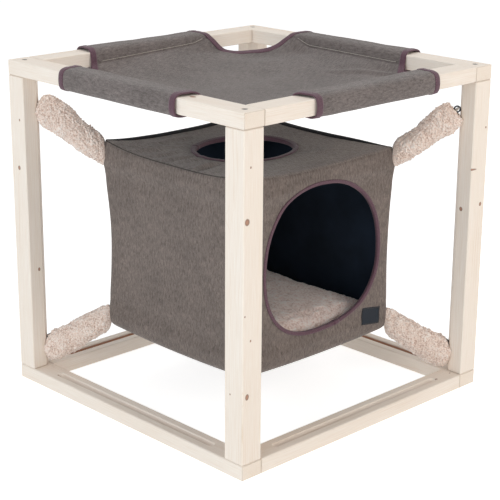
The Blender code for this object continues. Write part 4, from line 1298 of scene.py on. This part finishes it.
def makeCushion():
    pad = sewn("cushionPad", cubeWalls(cubeSteps(44), cushionPoints))
    swell(pad)
    # it lies on the house's floor and stays inside the lining
    points = readPoints(pad)
    lowest = floorHeight(points[:, 0], points[:, 1]) + cushion["clearance"] + 0.0008
    points[:, 2] = np.maximum(points[:, 2], lowest)
    limit = cushion["half"] + 0.003
    points[:, :2] = np.clip(points[:, :2], -limit, limit)
    movePoints(pad, points)
    rounder = pad.modifiers.new("rounder", "SUBSURF")
    rounder.levels = rounder.render_levels = 1
    settle(pad)
    pad.data.shade_smooth()
    addPile(pad, cushion["pile"], lambda points, normals: smoothShare(normals[:, 2], -0.6, 0.2))
    finish = pileFinish("cushionPlush", cushion["shadedRoot"], cushion["middle"], cushion["tip"], cushion["curl"])
    dress(pad, finish, ["cushion"], "cushion")


makeCushion()
print("the cushion is filled")


# Plush arms, their cords and the screw eyes

arms = {
    # share of the way out, height of the middle, half height, half width
    "upper": [(0.0, 0.3640, 0.0212, 0.0065), (0.1, 0.3697, 0.0216, 0.0130),
              (0.3, 0.3810, 0.0228, 0.0185), (0.6, 0.4045, 0.0262, 0.0190),
              (0.8, 0.4165, 0.0255, 0.0190), (0.93, 0.4205, 0.0222, 0.0180),
              (1.0, 0.4205, 0.0185, 0.0160)],
    "lower": [(0.0, 0.1010, 0.0210, 0.0065), (0.1, 0.0960, 0.0217, 0.0130),
              (0.3, 0.0855, 0.0232, 0.0180), (0.6, 0.0665, 0.0245, 0.0190),
              (0.84, 0.0545, 0.0245, 0.0185), (1.0, 0.0500, 0.0225, 0.0165)],
    "outerEnd": 0.2188,
    "innerWrap": 0.95,                   # how far the ends fold round the house's corner and the post's
    "outerWrap": 0.80,
    "shadedRoot": paint(196, 164, 148), "middle": paint(241, 218, 204), "tip": paint(254, 244, 236),
    "curl": 0.0022,
    "pile": [(0.0150, 0.0009), (0.0036, 0.0009), (0.0020, 0.0008)],
}
armShapes = {
    # how far this arm's middle hangs lower, its thickness against the others, how far its top end stands
    # back, how much higher its outer end sits
    "lower_arm_front_right": (0.003, 1.05, 0.0, 0.0015),
    "lower_arm_rear_left": (0.0, 1.0, 0.0, 0.0015),
    "upper_arm_front_right": (0.0, 0.95, 0.0075, 0.0),
    "upper_arm_front_left": (0.0, 1.0, 0.004, 0.0),
    "upper_arm_rear_right": (0.0, 1.0, 0.004, 0.0),
    "upper_arm_rear_left": (-0.002, 1.08, 0.0, 0.003),
}
eyes = {
    "upper": 0.433, "lower": 0.067, "ring": 0.0044, "wire": 0.0013, "shank": 0.006,
    "collar": (0.0019, 0.0021, 0.0019),
    "openingDegrees": 26,                # the ring isn't quite closed
    "postInner": 0.2205,                 # the post's chamfered face, along X and along Y
}
eyes["out"] = eyes["postInner"] - (eyes["ring"] + eyes["wire"]) / math.sqrt(2)


def armEnds(level, sx, sy):
    # the screw eye's middle, and where the arm starts at the house's corner
    middle, half = arms[level][0][1:3]
    steps = np.clip((np.linspace(middle - half, middle + half, 9) - houseMiddle) / houseHalfHeight, -1, 1)
    reach = housePoints(np.ones(9), np.ones(9), steps, bare=True)[0][:, 0].max() + 0.0004
    eye = np.array((sx * eyes["out"], sy * eyes["out"], eyes[level]))
    return eye, np.array((sx * reach, sy * reach, middle))


def makeArm(level, corner, sx, sy):
    name = level + "_arm_" + corner
    sag, thick, back, rise = armShapes.get(name, (0.0, 1.0, 0.0, 0.0))
    eye, start = armEnds(level, sx, sy)
    keys, height, upright, across = np.array(arms[level]).T
    share = np.sin(np.linspace(0, 1, 170) * math.pi / 2) ** 0.95
    middle = through(keys, height, share) - sag * np.sin(math.pi * share) + rise * share ** 2
    # rounded ends
    ends = (0.93 + 0.07 * quarterRound(share / 0.04)) * (0.55 + 0.45 * quarterRound((1 - share) / 0.12))
    tall, wide = through(keys, upright, share) * thick * ends, through(keys, across, share) * ends
    inner = abs(start[0])
    reach = inner + (arms["outerEnd"] - inner) * share
    core = np.stack([sx * reach, sy * reach, middle], 1)
    turns = np.linspace(0, 2 * math.pi, 150, endpoint=False)
    side = np.array((-sy, sx, 0)) / math.sqrt(2)
    ring = np.cos(turns)[:, None] * side * wide[:, None, None]
    ring = ring + np.sin(turns)[:, None] * np.array((0, 0, 1.0)) * tall[:, None, None]
    # the ends fold round the house's corner and the post's
    standBack = back * share[:, None] ** 4 * smoothShare(np.sin(turns), -0.3, 0.9)
    aside = np.abs(np.cos(turns)) * wide[:, None] / math.sqrt(2)
    wrap = (arms["outerWrap"] * share ** 6)[:, None] * (np.hypot(aside, 0.006) - 0.006)
    wrap = wrap - (arms["innerWrap"] * (1 - share) ** 5)[:, None] * (np.hypot(aside, 0.002) - 0.002)
    points = core[:, None] + ring + np.array((sx, sy, 0)) * (wrap - standBack)[..., None]
    patches = [patch(points, closeColumns=True), fan(points[0], core[0]), fan(points[-1], core[-1])]
    sleeve = sewn(name.replace("_arm_", "Arm_"), patches, weld=1e-5)

    def clearOfHouse(points, normals):
        out = np.abs(points[:, 0] * sx + points[:, 1] * sy) / 2
        return smoothShare(out, inner - 0.0005, inner + 0.004)

    addPile(sleeve, arms["pile"], clearOfHouse)
    dress(sleeve, plush, [name])
    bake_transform(sleeve)


cords = {
    "radius": 0.0018,
    "loop": (0.0046, 0.0034, 0.0012),    # half its length, half its width, the radius of its cord
    "loopAhead": 0.0022,                 # from the screw eye's middle to the loop's
    "binding": (0.0080, 0.0023, 0.00025),   # length, radius, and how far its turns stand out
}


def makeCord(level, corner, sx, sy):
    # elastic cord: an eye-shaped loop through the screw eye, bound, then a straight run to the house
    loopLong, loopWide, loopRadius = cords["loop"]
    bound, boundRadius, turn = cords["binding"]
    name = level + "_cord_" + corner
    eye, end = armEnds(level, sx, sy)
    pull = unit(end - eye)
    side = unit(np.cross(pull, (0, 0, 1.0)))
    centre = eye + pull * cords["loopAhead"]
    turns = np.linspace(0, 2 * math.pi, 40, endpoint=False)[:, None]
    loop = centre + pull * loopLong * np.cos(turns) + side * loopWide * np.sin(turns)
    forward = unit(np.roll(loop, -1, 0) - np.roll(loop, 1, 0))
    over = np.cross(forward, np.cross(pull, side))
    around = np.linspace(0, 2 * math.pi, 10, endpoint=False)[:, None]
    rings = over[:, None] * np.cos(around) + np.cross(forward, over)[:, None] * np.sin(around)
    rings = loop[:, None] + loopRadius * rings
    flat = np.stack(np.meshgrid(np.arange(11) * 0.00075, np.arange(41) * 0.0006), -1)
    start = centre + pull * loopLong
    binding = evenly([start - pull * 0.0004, start + pull * bound], 0.0008)
    patches = [patch(rings, flat, closeRows=True, closeColumns=True)]
    patches += tube(evenly([start, end - pull * 0.001], 0.002), cords["radius"], 12)
    patches += tube(binding, boundRadius + turn * np.cos(np.arange(len(binding)) * math.pi), 12)
    cord = sewn(name.replace("_cord_", "Cord_"), patches, weld=1e-7)
    dress(cord, elastic, [name])
    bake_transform(cord)


def makeEye(level, corner, sx, sy):
    # ring of bent wire, upright on the corner's diagonal, with its neck going into the post
    name = level + "_eye_" + corner
    centre, _ = armEnds(level, sx, sy)
    diagonal, up = np.array((sx, sy, 0)) / math.sqrt(2), np.array((0, 0, 1.0))
    turns = np.linspace(math.radians(eyes["openingDegrees"]), 2 * math.pi - 0.05, 44)[:, None]
    ring = centre + eyes["ring"] * (diagonal * np.cos(turns) + up * np.sin(turns))
    neck = centre + diagonal * (eyes["ring"] + np.linspace(0.0005, eyes["shank"], 8)[:, None])
    collar = centre + diagonal * (eyes["ring"] + np.array((0.0010, 0.0013, 0.0016))[:, None])
    patches = tube(smoothed(np.vstack([ring, neck]), 2), eyes["wire"], 12, start=np.cross(diagonal, up))
    patches += tube(collar, eyes["collar"], 16)
    eye = sewn(name.replace("_eye_", "Eye_"), patches, weld=1e-7)
    dress(eye, steel, [name], "frame")


def metalFinish(name, colour, roughness, pitch):
    finish, tree, shader = newFinish(name, roughness, metallic=1.0)
    place = coordinates(tree)
    fine, broad = noise(tree, place, 1 / pitch, 3.0, 0.6), noise(tree, place, 180)
    gloss = rescaled(tree, fine, 0.3, 0.7, roughness * 0.7, roughness * 1.4)
    tree.links.new(gloss, shader.inputs["Roughness"])
    dull = [value * 0.7 for value in colour[:3]] + [1.0]
    painted(tree, shader, ramp(tree, broad, [(0.3, dull), (0.65, colour)]), fine, 0.00004, 0.4)
    return finish


plush = pileFinish("beigePlush", arms["shadedRoot"], arms["middle"], arms["tip"], arms["curl"])
elastic = ribbedFinish("elasticCord", paint(196, 190, 180), paint(236, 232, 224), 0.0010, 0.75, 0.0002)
steel = metalFinish("darkSteel", paint(92, 94, 98), 0.22, 0.0009)
zinc = metalFinish("zincScrew", paint(88, 89, 93), 0.34, 0.0006)
for corner, (sx, sy) in corners.items():
    for level in ("upper", "lower"):
        makeArm(level, corner, sx, sy)
        makeCord(level, corner, sx, sy)
        makeEye(level, corner, sx, sy)
    for level in ("top", "base"):
        dress(nodes[level + "_screw_" + corner], zinc)
print("the arms hold the house")
